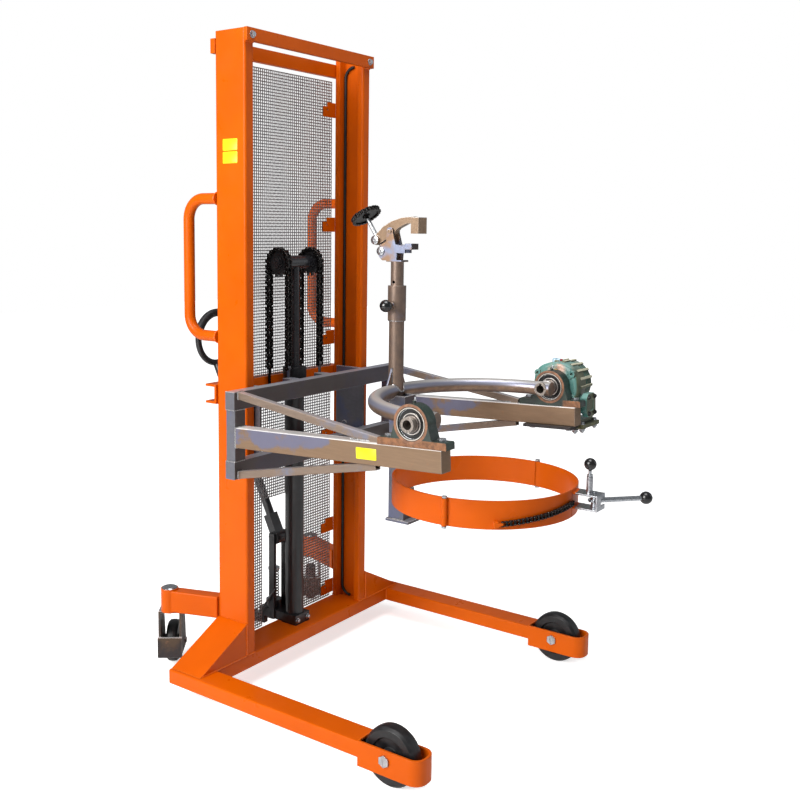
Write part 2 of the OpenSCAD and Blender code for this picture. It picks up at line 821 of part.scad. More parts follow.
// Release pedal on a cross pin, with its rod.
module release_pedal() in_frame() color("#2a2a2c") translate([0, pump_y + 46, 100]) {
    translate([-12, 0, 0]) rod_x(12, 24);
    translate([-32, 0, 0]) rod_x(6, 64);
    rotate([-20, 0, 0]) translate([-11, 0, -5]) cube([22, 62, 10]);
    translate([-30, 52, -36]) rotate([-20, 0, 0]) cube([60, 10, 44]);
    translate([-52, 0, 0]) rod_x(6, 20.1);
    translate([-52, -6, -4]) cube([8, 20, 10]);
    translate([-48, 10, 0]) rotate([37, 0, 0]) cylinder(r = 4, h = 180);
}

// Front wheels.
module front_axles() in_frame() color("dimgray") both_sides() translate([track_x, wheel_y, wheel_z]) {
    translate([-leg_w / 2 - axle_head, 0, 0]) rod_x(axle_d / 2, leg_w + 2 * axle_head);
    translate([leg_w / 2, 0, 0]) rotate([0, 90, 0]) hex_head(1.6 * axle_d, axle_head);
    translate([-leg_w / 2 - axle_head, 0, 0]) rotate([0, 90, 0]) hex_head(1.6 * axle_d, axle_head);
}

// A wheel about X: crowned tread, dished sides and a hub.
module wheel(d, w, bore_d, hub_w) {
    r = d / 2;
    edge = 0.16 * w;
    rotate([0, 90, 0]) rotate_extrude() difference() {
        union() {
            polygon([[bore_d / 2, -w / 2 + edge], [0.62 * r, -w / 2 + edge],
                [0.66 * r, -w / 2], [0.9 * r, -w / 2],
                [r - 1.5, -w / 2 + edge], [r, -w / 8], [r, w / 8], [r - 1.5, w / 2 - edge],
                [0.9 * r, w / 2], [0.66 * r, w / 2], [0.62 * r, w / 2 - edge], [bore_d / 2, w / 2 - edge]]);
            translate([bore_d / 2, -hub_w / 2]) square([0.2 * r, hub_w]);
        }
        translate([0, -w]) square([bore_d / 2, 2 * w]);
    }
}

module front_wheel() translate([track_x, wheel_y, wheel_z])
    wheel(wheel_d, wheel_w, axle_d + 2 * run_gap, leg_w - 2 * housing_wall - 2 * free_gap);

module left_front_wheel() in_frame() color("#242426") on_side(-1) front_wheel();
module right_front_wheel() in_frame() color("#242426") on_side(1) front_wheel();

// Caster forks: drawn with the swivel axis at the origin and the wheel trailing along +X.
fork_half = fork_gap / 2 + fork_wall;
fork_top = boss_z - 2 * free_gap;
caster_z = caster_d / 2;
caster_axle_d = 14;
module fork_side() {
    difference() {
        union() {
            translate([-8, 52]) square([96, fork_top - 52]);
            translate([trail, caster_z]) circle(22);
            polygon([[-8, 52], [30, 52], [trail - 8, caster_z - 20],
                [trail + 21, caster_z + 6], [88, fork_top - 60]]);
        }
        translate([trail, caster_z]) circle(caster_axle_d / 2 + run_gap);
        polygon([[60, fork_top + 1], [90, fork_top + 1], [90, fork_top - 62]]);
    }
}

module caster_fork_at(x) translate([x, swivel_y, 0]) rotate([0, 0, trail_angle]) {
    translate([0, 0, fork_top - fork_wall]) cylinder(d = kingpin_d, h = boss_h - 8 + fork_wall);
    translate([-8, -fork_half, fork_top - fork_wall]) cube([68, 2 * fork_half, fork_wall]);
    for (s = [-1, 1]) translate([0, s * (fork_half - fork_wall / 2) + fork_wall / 2, 0])
        along_front(fork_wall) fork_side();
    translate([-13, -fork_half - 3, 46]) cube([6, 2 * fork_half + 6, 76]);
    translate([trail, -fork_half - 5, caster_z]) rod_y(caster_axle_d / 2, 2 * fork_half + 10);
    for (s = [-1, 1]) translate([trail, s * (fork_half + 2.5) - 2.5, caster_z]) rod_y(11, 5);
}

module left_caster_fork() in_frame() color("#3c3834") caster_fork_at(-swivel_x);
module right_caster_fork() in_frame() color("#3c3834") caster_fork_at(swivel_x);

module caster_wheel_at(x) translate([x, swivel_y, 0]) rotate([0, 0, trail_angle])
    translate([trail, 0, caster_z]) rotate([0, 0, 90])
        wheel(caster_d, caster_w, caster_axle_d + 2 * run_gap, fork_gap - 2 * free_gap);

module left_caster_wheel() in_frame() color("#242426") caster_wheel_at(-swivel_x);
module right_caster_wheel() in_frame() color("#242426") caster_wheel_at(swivel_x);

// Ram with piston, crosshead and sprocket axle.
piston_z = 540;
hub_half = sprocket_x - 16;
module ram() in_frame() color("#2c2c30") translate([0, sprocket_y, 0]) {
    translate([0, 0, piston_z]) cylinder(d = ram_d, h = sprocket_z - piston_z);
    translate([0, 0, piston_z]) cylinder(d = cylinder_bore - 2 * run_gap, h = 40);
    translate([-hub_half, 0, sprocket_z]) rod_x(21, 2 * hub_half);
    translate([-sprocket_x - 20, 0, sprocket_z]) rod_x(sprocket_axle_d / 2, 2 * sprocket_x + 40);
    for (s = [-1, 1]) translate([s * (sprocket_x + 17) - 3, 0, sprocket_z]) rod_x(sprocket_axle_d / 2 + 5, 6);
}

module sprocket() translate([sprocket_x, sprocket_y, sprocket_z]) rotate([90, 0, 90]) difference() {
    union() {
        toothed_disc(lift_pitch, sprocket_teeth, wrap_start, 2 * inner_half(lift_pitch) - 1.2);
        cylinder(r = 24, h = 26, center = true);
    }
    cylinder(d = sprocket_axle_d + 2 * run_gap, h = 60, center = true);
}

module left_sprocket() in_frame() color("#202022") on_side(-1) sprocket();
module right_sprocket() in_frame() color("#202022") on_side(1) sprocket();

// A lift chain: a run up behind the ram, over the sprocket and down in front of it.
// It is drawn in a plane with +X to the back and +Y up, and its pins across it.
module lift_chain() {
    step = 360 / sprocket_teeth;
    for (i = [0:wrap_links - 1]) rotate(wrap_start + i * step) translate([lift_r, 0])
        rotate(90 + step / 2) chain_link(lift_pitch, i + 1);
    for (s = [-1, 1]) {
        top = [s * lift_r * cos(wrap_start), lift_r * sin(wrap_start)];
        below = [s * lift_r, strand_top_z];
        translate(top) rotate(atan2(below[1] - top[1], below[0] - top[0])) chain_link(lift_pitch, 0);
        for (k = [0:lift_links - 2]) translate([s * lift_r, strand_top_z - k * lift_pitch])
            rotate(-90) chain_link(lift_pitch, k + 1);
    }
}

module lift_chains() in_frame() color("#161618") both_sides()
    translate([sprocket_x, sprocket_y, sprocket_z]) rotate([90, 0, 90]) lift_chain();

// Carriage.
module cross_tube(z) translate([-carriage_half, -carriage_y + cross_d / 2, z + cross_h / 2])
    along_x(2 * carriage_half) tube_section(cross_d, cross_h, cross_wall, 3);

module carriage_frame() in_frame() color("slategray") {
    cross_tube(upper_z);
    cross_tube(lower_z);
    both_sides() {
        for (z = [upper_z, lower_z]) translate([carriage_half, -carriage_y, z]) cube([3, cross_d, cross_h]);
        translate([arm_x, -carriage_y + cross_d / 2, lower_z + cross_h])
            linear_extrude(height = upper_z - lower_z - cross_h)
                tube_section(arm_w, cross_d, cross_wall, 3);
        difference() {
            translate([plate_x, cross_back, lower_z + 4])
                cube([plate_t, column_depth - cross_back - column_flange_t,
                    upper_z + cross_h - lower_z - 8]);
            for (z = [roller_low_z, roller_high_z])
                translate([plate_x - 1, column_mid_y, z]) rod_x(12, plate_t + 2);
        }
        for (z = [roller_low_z, roller_high_z]) translate([plate_x - 4, column_mid_y, z])
            rod_x(12, column_inner + roller_w + 4 - plate_x);
        translate([sprocket_x, sprocket_y - lift_r, 0]) {
            chain_eye(upper_z + cross_h - 8, chain_end_z);
            translate([-18, cross_back - sprocket_y + lift_r, upper_z + 20])
                cube([36, sprocket_y - lift_r - cross_back + 12, cross_h - 24]);
        }
    }
}

// A box tube in the plane of an arm from one point to another, its ends cut by its neighbours.
module slope_tube(y0, z0, length, angle, w, h, wall) {
    translate([arm_x, -y0, z0]) rotate([-angle, 0, 0]) along_front(length) tube_section(w, h, wall, 3);
}

module carriage_arms() in_frame() color("slategray") both_sides() difference() {
    union() {
        slope_tube(carriage_y - 20, arm_z + arm_h / 2 - 20 * tan(arm_slope), arm_l + 20, arm_slope,
            arm_w, arm_h, cross_wall);
        translate([arm_x, -carriage_y + 20, arm_z + arm_h / 2 - 20 * tan(arm_slope)])
            rotate([-arm_slope, 0, 0]) translate([-arm_w / 2 + 2, -arm_l - 20, -arm_h / 2 + 2])
                cube([arm_w - 4, cross_wall, arm_h - 4]);
    }
    translate([0, -carriage_y, 0]) cube([2 * carriage_half, 100, 2 * upper_z]);
}

// Braces: from the front face of each cross tube to the top and the underside of the arm.
brace_up_z = upper_z + cross_h - 12;
brace_low_z = lower_z + 14;
arm_top_at_brace = arm_z + arm_h / cos(arm_slope) + brace_reach * tan(arm_slope);
arm_low_at_brace = arm_z + brace_reach * tan(arm_slope);
brace_up_angle = atan2(arm_top_at_brace - brace_up_z + brace_w / 4, brace_reach);
brace_low_angle = atan2(arm_low_at_brace - brace_low_z - brace_w / 4, brace_reach);
brace_l = 20 + (block_foot_y - carriage_y - 6) / cos(brace_up_angle);

module arm_braces() in_frame() color("slategray") both_sides() difference() {
    union() {
        slope_tube(carriage_y - 20, brace_up_z - 20 * tan(brace_up_angle), brace_l, brace_up_angle,
            brace_w, brace_w, 3);
        slope_tube(carriage_y - 20, brace_low_z - 20 * tan(brace_low_angle), brace_l, brace_low_angle,
            brace_w, brace_w, 3);
    }
    translate([0, -carriage_y, 0]) cube([2 * carriage_half, 100, 2 * upper_z]);
    translate([arm_x - arm_w, -carriage_y, arm_z]) rotate([-arm_slope, 0, 0])
        translate([0, -arm_l, -0.1]) cube([2 * arm_w, arm_l + 10, arm_h + 0.2]);
}

module guide_roller(z) translate([column_inner + 2, column_mid_y, z]) difference() {
    rod_x(roller_d / 2, roller_w);
    translate([-slack, 0, 0]) rod_x(12 + run_gap, roller_w + 2 * slack);
    for (x = [-slack, roller_w - 3]) translate([x, 0, 0]) difference() {
        rod_x(roller_d / 2 - 9, 3 + slack);
        translate([-slack, 0, 0]) rod_x(20, 3 + 3 * slack);
    }
}

module left_low_roller() in_frame() color("#303034") on_side(-1) guide_roller(roller_low_z);
module left_high_roller() in_frame() color("#303034") on_side(-1) guide_roller(roller_high_z);
module right_low_roller() in_frame() color("#303034") guide_roller(roller_low_z);
module right_high_roller() in_frame() color("#303034") guide_roller(roller_high_z);

// A plummer block in its own frame: the shaft along X through the origin, its foot block_h below.
module block_outline() {
    foot_h = 22;
    circle(block_r);
    translate([-block_l / 2, -block_h]) round_foot(block_l, foot_h);
    polygon([[-block_r + 1, 0], [block_r - 1, 0],
        [block_r + 12, -block_h + foot_h], [-block_r - 12, -block_h + foot_h]]);
}

module round_foot(l, h) {
    square([l, h - 5]);
    translate([5, 0]) square([l - 10, h]);
    for (x = [5, l - 5]) translate([x, h - 5]) circle(5);
}

module plummer_block() difference() {
    union() {
        translate([-block_w / 2, 0, 0]) along_x(block_w) block_outline();
        translate([0, 0, block_r - 2]) cylinder(r = 5, h = 10);
    }
    translate([-block_w, 0, 0]) rod_x(bearing_d / 2, 2 * block_w);
    for (s = [-1, 1]) {
        translate([0, s * (block_l / 2 - 28), -block_h - 1]) cylinder(d = 17, h = 40);
    }
}

module at_block() translate([block_x, -tilt_y, tilt_z]) rotate([-arm_slope, 0, 0]) children();

module plummer_blocks() in_frame() color("#4e7a70") both_sides() at_block() plummer_block();

// Outer rings sit in the blocks; the inner rings turn with the stub shafts.
ring_mid = stub_d / 2 + 9;
module bearing_rings() in_frame() color("silver") both_sides() at_block()
    translate([-bearing_w / 2, 0, 0]) difference() {
        rod_x(bearing_d / 2, bearing_w);
        translate([-slack, 0, 0]) rod_x(ring_mid + free_gap, bearing_w + 2 * slack);
    }

module carriage_bolts() in_frame() color("silver") {
    both_sides() at_block() for (s = [-1, 1])
        translate([0, s * (block_l / 2 - 28), -block_h + 22]) bolt(14, 22);
    at_gearbox() for (x = [block_x - 12, gear_x + 90], y = [-70, 70])
        translate([x, y - tilt_y, gear_base_z - 8]) hex_head(20, 8);
}

// Worm gearbox: a round case for the wheel over a cross case for the worm, with a ribbed cover.
gear_base_t = 13;
module at_gearbox() translate([0, -tilt_y, tilt_z]) rotate([-arm_slope, 0, 0])
    translate([0, tilt_y, -tilt_z]) children();

module gearbox() in_frame() color("#3f7d6c") at_gearbox() difference() {
    union() {
        translate([gear_x, -tilt_y, tilt_z]) rod_x(gear_r - 10, gear_w);
        translate([gear_x + 26, -tilt_y, tilt_z]) rod_x(gear_r, 56);
        translate([gear_x + gear_w, -tilt_y, tilt_z]) rod_x(gear_r - 12, gear_cover - 8);
        for (i = [0:3]) translate([gear_x + gear_w + 4 + i * 11, -tilt_y, tilt_z]) rod_x(gear_r - 3, 5);
        for (a = [0:60:300]) translate([gear_x + gear_w, -tilt_y, tilt_z]) rotate([a, 0, 0])
            translate([0, -4, 0]) cube([gear_cover, 8, gear_r - 9]);
        translate([worm_x, -tilt_y - worm_l / 2, worm_z]) rod_y(34, worm_l);
        for (y = [-worm_l / 2 - 10, worm_l / 2]) translate([worm_x, -tilt_y + y, worm_z]) rod_y(40, 10);
        translate([worm_x - 48, -tilt_y - 62, worm_z]) cube([96, 124, tilt_z - worm_z - 10]);
        translate([gear_x + 2, -tilt_y - 90, gear_base_z + gear_plate_t]) cube([118, 180, gear_base_t]);
        translate([worm_x - 40, -tilt_y - 56, gear_base_z + gear_plate_t + 2])
            cube([80, 112, worm_z - gear_base_z - 10]);
        translate([worm_x, -tilt_y + 24, tilt_z + gear_r - 4]) cylinder(r = 9, h = 12);
    }
    translate([gear_x - slack, -tilt_y, tilt_z]) rod_x(stub_d / 2 + run_gap, gear_w);
    translate([worm_x, -tilt_y - 40, worm_z]) rod_y(worm_d / 2 + run_gap, worm_l);
}

module gearbox_plate() in_frame() color("slategray") at_gearbox()
    translate([carriage_half - arm_w - 20, -tilt_y - gear_plate_w / 2, gear_base_z])
        cube([gear_outer - carriage_half + arm_w + 20, gear_plate_w, gear_plate_t]);

module worm_shaft() in_frame() color("silver") at_gearbox() translate([worm_x, -tilt_y - 30, worm_z])
    difference() {
        union() {
            rod_y(worm_d / 2, worm_l / 2 + 40);
            rod_y(worm_end_d / 2, worm_l / 2 + 40 + worm_end_l);
        }
        rotate([0, 36, 0]) translate([-3, worm_l / 2 + 42, worm_end_d / 2 - 4])
            cube([6, worm_end_l, 10]);
    }

// Yoke: a half ring of tube whose ends stand on the stub shafts.
module yoke() in_frame() color("#8a8680") translate([0, -tilt_y, tilt_z]) difference() {
    union() {
        rotate_extrude(angle = 180) translate([yoke_r, 0]) circle(yoke_d / 2);
        for (s = [-1, 1]) translate([s * yoke_r, -31, 0]) rod_y(yoke_d / 2, 31 + eps);
    }
    rotate_extrude(angle = 180) translate([yoke_r, 0]) circle(yoke_d / 2 - yoke_wall);
    for (s = [-1, 1]) translate([s * (yoke_r + 60) - 120 , 0, 0]) rod_x(stub_d / 2, 240);
    translate([0, tilt_y - post_y, -yoke_d]) cylinder(r = post_d / 2, h = 2 * yoke_d);
}

stub_in = yoke_r - yoke_d / 2;
module stub_shafts() in_frame() color("silver") translate([0, -tilt_y, tilt_z]) {
    for (s = [-1, 1]) {
        stub_out = s < 0 ? block_x + 41 : gear_x + gear_w - 4;
        on_side(s) {
            difference() {
                translate([stub_in, 0, 0]) rod_x(stub_d / 2, stub_out - stub_in);
                translate([stub_in - slack, 0, 0]) rod_x(stub_bore / 2, stub_out - stub_in + 2 * slack);
                if (s > 0) translate([stub_in - slack, -4, 0]) cube([22, 8, stub_bore / 2 + 4]);
            }
            difference() {
                translate([block_x - bearing_w / 2 - 4, 0, 0]) rod_x(ring_mid, bearing_w + 8);
                translate([block_x - bearing_w, 0, 0]) rod_x(stub_d / 2, 2 * bearing_w);
            }
        }
    }
}

// Post: a lower tube through the yoke, gussets and a sleeve on top.
post_low = tilt_z - yoke_d / 2 - 10;
module post() in_frame() color("#8a8680") translate([0, -post_y, 0]) difference() {
    union() {
        translate([0, 0, post_low]) cylinder(d = post_d, h = sleeve_z - post_low + 20);
        translate([0, 0, sleeve_z]) cylinder(d = sleeve_d, h = sleeve_top - sleeve_z);
        translate([-sleeve_d / 2 - 5, 0, plunger_z]) rod_x(10, 20);
        for (a = [0, 180]) rotate([0, 0, a]) translate([0, 3, tilt_z + yoke_d / 2]) rotate([90, 0, 0])
            linear_extrude(height = 6)
                polygon([[post_d / 2 - 3, 0], [post_d / 2 + 26, 0], [post_d / 2 - 3, 62]]);
    }
    translate([0, 0, post_low - slack])
        cylinder(d = inner_d + 2 * run_gap, h = sleeve_top - post_low + 2 * slack);
    translate([-sleeve_d, 0, plunger_z]) rod_x(5 + run_gap, sleeve_d);
}

inner_low = post_low + 70;
inner_holes = [for (k = [-3:3]) plunger_z + k * index_step];
module inner_tube() in_frame() color("#9a958c") {
    translate([0, -post_y, 0]) difference() {
        translate([0, 0, inner_low]) cylinder(d = inner_d, h = inner_top - inner_low);
        translate([0, 0, inner_low - slack]) cylinder(d = inner_d - 9, h = inner_top - inner_low - 6);
        for (z = inner_holes) translate([-inner_d, 0, z]) rod_x(5.4, inner_d);
    }
    lower_jaw();
}

// Lower jaw: two cross-shaped cheeks on a base plate, with the lower pin and the fixed pad.
cheek_x = jaw_gap / 2;
clamp_pin_r = 15;
clamp_pin_half = cheek_x + jaw_t + 3;
module cheek_outline() {
    translate([lower_pin_y - pivot_y, lower_pin_z - pivot_z]) circle(17);
    circle(13);
    polygon([[10, 6], [-12, 6], [-14, -34], [-40, -46], [-44, -84], [-30, -98], [28, -98], [30, -72],
        [62, -72], [62, -46], [24, -44]]);
}

module lower_jaw() translate([0, -pivot_y, pivot_z + clamp_shift]) {
    difference() {
        union() {
            for (s = [-1, 1]) translate([s * (cheek_x + jaw_t / 2) - jaw_t / 2, 0, 0]) along_x(jaw_t)
                mirror([1, 0]) cheek_outline();
            translate([-clamp_pin_half, pivot_y - lower_pin_y, lower_pin_z - pivot_z])
                rod_x(clamp_pin_r, 2 * clamp_pin_half);
        }
        translate([-40, 0, 0]) rod_x(7 + run_gap, 80);
        translate([0, pivot_y - lower_pin_y, lower_pin_z - pivot_z]) rotate([-screw_lean, 0, 0])
            translate([0, 0, -30]) cylinder(d = screw_d + 2 * run_gap, h = 60);
    }
    translate([-cheek_x - jaw_t, pivot_y - post_y - 30, -102]) cube([jaw_gap + 2 * jaw_t, 62, 6]);
    translate([-cheek_x - jaw_t, -89, -60]) cube([jaw_gap + 2 * jaw_t, 27, 20]);
}

// Upper jaw: one curved cheek pair from the screw's pin over the pivot to the hook.
module jaw_outline() {
    pin = [pivot_y - upper_pin_y, upper_pin_z - pivot_z];
    translate(pin) circle(17);
    circle(14);
    polygon([[-2, -14], [pin[0] - 4, pin[1] - 17], [pin[0] + 6, pin[1] + 16], [34, 16], [0, 34],
        [-40, 46], [-88, 50], [-92, 28], [-60, 26], [-26, 10]]);
}

upper_jaw_t = jaw_gap - 2 * free_gap;
module upper_jaw() in_frame() color("#9b8468") translate([0, -pivot_y, pivot_z + clamp_shift]) {
    difference() {
        union() {
            translate([-upper_jaw_t / 2, 0, 0]) along_x(upper_jaw_t) jaw_outline();
            translate([-cheek_x - jaw_t - 4, -118, -7]) cube([jaw_gap + 2 * jaw_t + 8, 30, 54]);
            translate([-clamp_pin_half, pivot_y - upper_pin_y, upper_pin_z - pivot_z])
                rod_x(clamp_pin_r, 2 * clamp_pin_half);
        }
        translate([0, pivot_y - lower_pin_y, lower_pin_z - pivot_z]) rotate([-screw_lean, 0, 0])
            translate([0, 0, -5]) cylinder(d = screw_d + 7, h = 145);
    }
    translate([-cheek_x - jaw_t - 5, 0, 0]) rod_x(7, jaw_gap + 2 * jaw_t + 10);
}

// Clamp screw: it turns in the lower pin and carries the hand wheel's disc.
module clamp_screw() in_frame() color("silver")
    translate([0, -lower_pin_y, lower_pin_z + clamp_shift]) {
        rotate([-screw_lean, 0, 0]) {
            translate([0, 0, -12]) cylinder(d = screw_d, h = wheel_along + 12);
            translate([0, 0, clamp_pin_r + 0.4]) cylinder(r = 10, h = 5);
            translate([0, 0, wheel_along - 8]) cylinder(r = 14, h = 16);
            translate([0, 0, wheel_along])
                toothed_disc(small_pitch, rim_links, 0, 2 * inner_half(small_pitch) - 0.8);
        }
    }

module rim_chain() in_frame() color("#161618")
    translate([0, -lower_pin_y, lower_pin_z + clamp_shift]) rotate([-screw_lean, 0, 0])
        translate([0, 0, wheel_along]) for (i = [0:rim_links - 1]) rotate(i * 360 / rim_links)
            translate([rim_r, 0]) rotate(90 + 180 / rim_links) chain_link(small_pitch, i);

// Support bar: a channel from the yoke down to a foot plate under the drum.
support_foot_z = 597;
bar_front = band_y - band_outer + 6;
bar_half = 33;
bar_wall = 6;
bar_depth = 62;
foot_half = 36;
foot_t = 9;
module support_bar() in_frame() color("#6f6a66") {
    difference() {
        translate([-bar_half, -bar_front, support_foot_z + foot_t])
            cube([2 * bar_half, bar_depth, tilt_z - support_foot_z - 20]);
        translate([bar_wall - bar_half, bar_wall - bar_front, support_foot_z + foot_t - slack])
            cube([2 * (bar_half - bar_wall), bar_depth, tilt_z - support_foot_z]);
        translate([0, -tilt_y, tilt_z]) rotate_extrude(angle = 180) translate([yoke_r, 0]) circle(yoke_d / 2);
        translate([0, -post_y, post_low - 1]) cylinder(d = post_d, h = 200);
        translate([0, -band_y, band_z - 3]) cylinder(r = band_outer, h = band_h + 6);
    }
    translate([-foot_half, -bar_front - 22, support_foot_z]) cube([2 * foot_half, bar_depth + 32, foot_t]);
}

// Drum band: a fixed rear segment and two hinged front segments.
module band_arc(from, to) {
    rotate_extrude_wedge(from, to) translate([band_r, 0]) square([band_t, band_h]);
}

module rotate_extrude_wedge(from, to) {
    rotate([0, 0, from]) rotate_extrude(angle = to - from) children();
}

module at_hinge(angle) translate([hinge_r * cos(angle), hinge_r * sin(angle), 0]) children();

gap_angle = 0.4;
module hinge_knuckle(angle, low, h) at_hinge(angle) translate([0, 0, low]) difference() {
    cylinder(r = knuckle_r, h = h);
    translate([0, 0, -1]) cylinder(d = hinge_pin_d + 2 * run_gap, h = h + 2);
}

module knuckle_cut(angle, low, h) at_hinge(angle) translate([0, 0, low])
    cylinder(r = knuckle_r + free_gap, h = h);

module at_band() translate([0, -band_y, band_z]) children();

module pin_bore(angle) at_hinge(angle) translate([0, 0, -10])
    cylinder(d = hinge_pin_d + 2 * run_gap, h = band_h + 20);

// The whole ring, and the sector in front of both hinges that the rear segment leaves free.
module band_ring() rotate([0, 0, meet_angle]) difference() {
    cylinder(r = band_outer, h = band_h);
    translate([0, 0, -slack]) cylinder(r = band_r, h = band_h + 2 * slack);
}

module front_sector() {
    reach = 2 * band_outer;
    left_end = left_hinge - gap_angle;
    right_end = right_hinge + gap_angle;
    polygon([
        [0, 0],
        [reach * cos(left_end), reach * sin(left_end)],
        [-reach, -reach],
        [reach, -reach],
        [reach * cos(right_end), reach * sin(right_end)]
    ]);
}

module rear_band() in_frame() color("darkorange") at_band() {
    difference() {
        band_ring();
        translate([0, 0, -slack]) linear_extrude(height = band_h + 2 * slack) front_sector();
        for (a = [left_hinge, right_hinge]) {
            knuckle_cut(a, knuckle_h - free_gap, knuckle_h + 2 * free_gap);
            pin_bore(a);
        }
    }
    for (a = [left_hinge, right_hinge]) {
        hinge_knuckle(a, knuckle_inset, knuckle_h - free_gap - knuckle_inset);
        hinge_knuckle(a, 2 * knuckle_h + free_gap, knuckle_h - free_gap - knuckle_inset);
    }
}

module front_band(hinge, from, to) {
    difference() {
        band_arc(from, to);
        knuckle_cut(hinge, -1, knuckle_h + 1);
        knuckle_cut(hinge, 2 * knuckle_h, knuckle_h + 1);
        pin_bore(hinge);
    }
    hinge_knuckle(hinge, knuckle_h, knuckle_h);
}

module left_band() in_frame() color("darkorange") at_band() {
    front_band(left_hinge, left_hinge + gap_angle, meet_angle - gap_angle);
    difference() {
        at_chain(0) {
            cylinder(r = roller_radius(small_pitch), h = anchor_tongue, center = true);
            translate([-20, -6, -anchor_tongue / 2]) cube([20, 12, anchor_tongue]);
            translate([-26, -6, -9]) cube([14, 14, 18]);
        }
        translate([0, 0, -1]) cylinder(r = band_outer - eps, h = band_h);
        at_chain(0) cylinder(r = pin_radius(small_pitch) + chain_gap, h = 40, center = true);
    }
}

module latch_bracket_shape() {
    difference() {
        translate([22, -(latch_pin_y - band_y) - 37]) square([60, 100]);
        circle(band_outer - 0.3);
    }
}

module right_band() in_frame() at_band() {
    color("darkorange") front_band(right_hinge, meet_angle + gap_angle, right_hinge - gap_angle);
    color("silver") difference() {
        translate([0, 0, latch_mid_z - band_z - latch_half])
            linear_extrude(height = 2 * latch_half) latch_bracket_shape();
        translate([0, -(latch_pin_y - band_y) - 37 + latch_t, latch_mid_z - band_z - latch_half + latch_t])
            cube([100, 100, 2 * (latch_half - latch_t)]);
        translate([latch_wheel_x, -(latch_wheel_y - band_y), 0]) cylinder(r = 8 + run_gap, h = 100);
        translate([latch_pin_x, -(latch_pin_y - band_y), 50]) cylinder(r = 5 + run_gap, h = 60);
        translate([latch_wheel_x - 12, -(latch_pin_y - band_y) - 45, latch_mid_z - band_z - 11])
            cube([60, 20, 22]);
    }
    color("silver") translate([latch_pin_x, -(latch_pin_y - band_y), latch_mid_z - band_z + latch_half])
        difference() {
            cylinder(r = 10, h = 52);
            translate([0, 0, -1]) cylinder(r = 5 + run_gap, h = 60);
        }
}

module band_pins() in_frame() color("silver") at_band() for (a = [left_hinge, right_hinge]) at_hinge(a) {
    translate([0, 0, -5]) cylinder(d = hinge_pin_d, h = band_h + 9);
    translate([0, 0, band_h + 0.3]) cylinder(r = 8, h = 5);
    translate([0, 0, -6]) cylinder(r = 7.5, h = 5.7);
}

// The chain climbs a little along the outside of the band and ends at the latch wheel.
band_step = 2 * asin(small_pitch / 2 / band_chain_r);
band_rise = asin(band_chain_climb / (band_links * small_pitch));
anchor_tongue = 2 * inner_half(small_pitch) - 0.6;
module at_chain(i) rotate([0, 0, band_chain_start + i * band_step])
    translate([band_chain_r, 0, 19 + i * small_pitch * sin(band_rise)])
        rotate([0, 0, 90 + band_step / 2]) rotate([0, -band_rise, 0]) children();

module band_chain() in_frame() color("#161618") at_band()
    for (i = [0:band_links - 4]) at_chain(i) chain_link(small_pitch, i + 1);

// Latch lever: a toothed wheel on a shaft in the bracket, with its hand lever.
module latch_lever() in_frame() color("silver") translate([latch_wheel_x, -latch_wheel_y, latch_mid_z]) {
    toothed_disc(small_pitch, latch_teeth, 90, 2 * inner_half(small_pitch) - 0.8);
    cylinder(r = 8, h = 2 * latch_half + 6, center = true);
    cylinder(r = 12, h = 2 * (latch_half - latch_t - free_gap), center = true);
    rotate([0, 0, lever_angle]) {
        rod_x(lever_d / 2, lever_l - 10);
        translate([lever_l, 0, 0]) sphere(d = lever_ball, $fn = 40);
    }
}

module latch_pin() in_frame() color("silver")
    translate([latch_pin_x, -latch_pin_y, latch_mid_z + latch_half]) {
    translate([0, 0, -latch_t - 5]) cylinder(r = 5, h = latch_t + 78);
    translate([0, 0, 53]) cylinder(r = 9, h = 6);
    translate([0, 0, 91]) sphere(r = 19, $fn = 40);
}

module plunger_knob() in_frame() color("black") translate([0, -post_y, plunger_z]) {
    translate([-sleeve_d / 2 - 34, 0, 0]) rod_x(5, sleeve_d / 2 + 34 - inner_d / 2 - free_gap);
    translate([-sleeve_d / 2 - 34, 0, 0]) sphere(d = knob_d, $fn = 40);
}

cross_beam();
front_legs();
outrigger_gussets();
rear_arms();
boss_caps();
mast_columns();
mast_bars();
push_handles();
mast_hose();
upper_guard();
lower_guard();
guard_tabs();
chain_anchors();
lift_cylinder();
pump_block();
pump_plunger();
pump_spring();
tiller();
tiller_grip();
release_pedal();
front_axles();
left_front_wheel();
right_front_wheel();
left_caster_fork();
right_caster_fork();
left_caster_wheel();
right_caster_wheel();
ram();
left_sprocket();
right_sprocket();
lift_chains();
carriage_frame();
carriage_arms();
arm_braces();
left_low_roller();
left_high_roller();
right_low_roller();
right_high_roller();
plummer_blocks();
bearing_rings();
carriage_bolts();
gearbox();
gearbox_plate();
worm_shaft();
yoke();
stub_shafts();
post();
inner_tube();
plunger_knob();
upper_jaw();
clamp_screw();
rim_chain();
support_bar();
rear_band();
left_band();
right_band();
band_pins();
band_chain();
latch_lever();
latch_pin();
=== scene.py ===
"""Looks of the drum handler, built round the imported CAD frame."""
import math
import random

import bpy
import numpy as np
from mathutils import Matrix, Vector


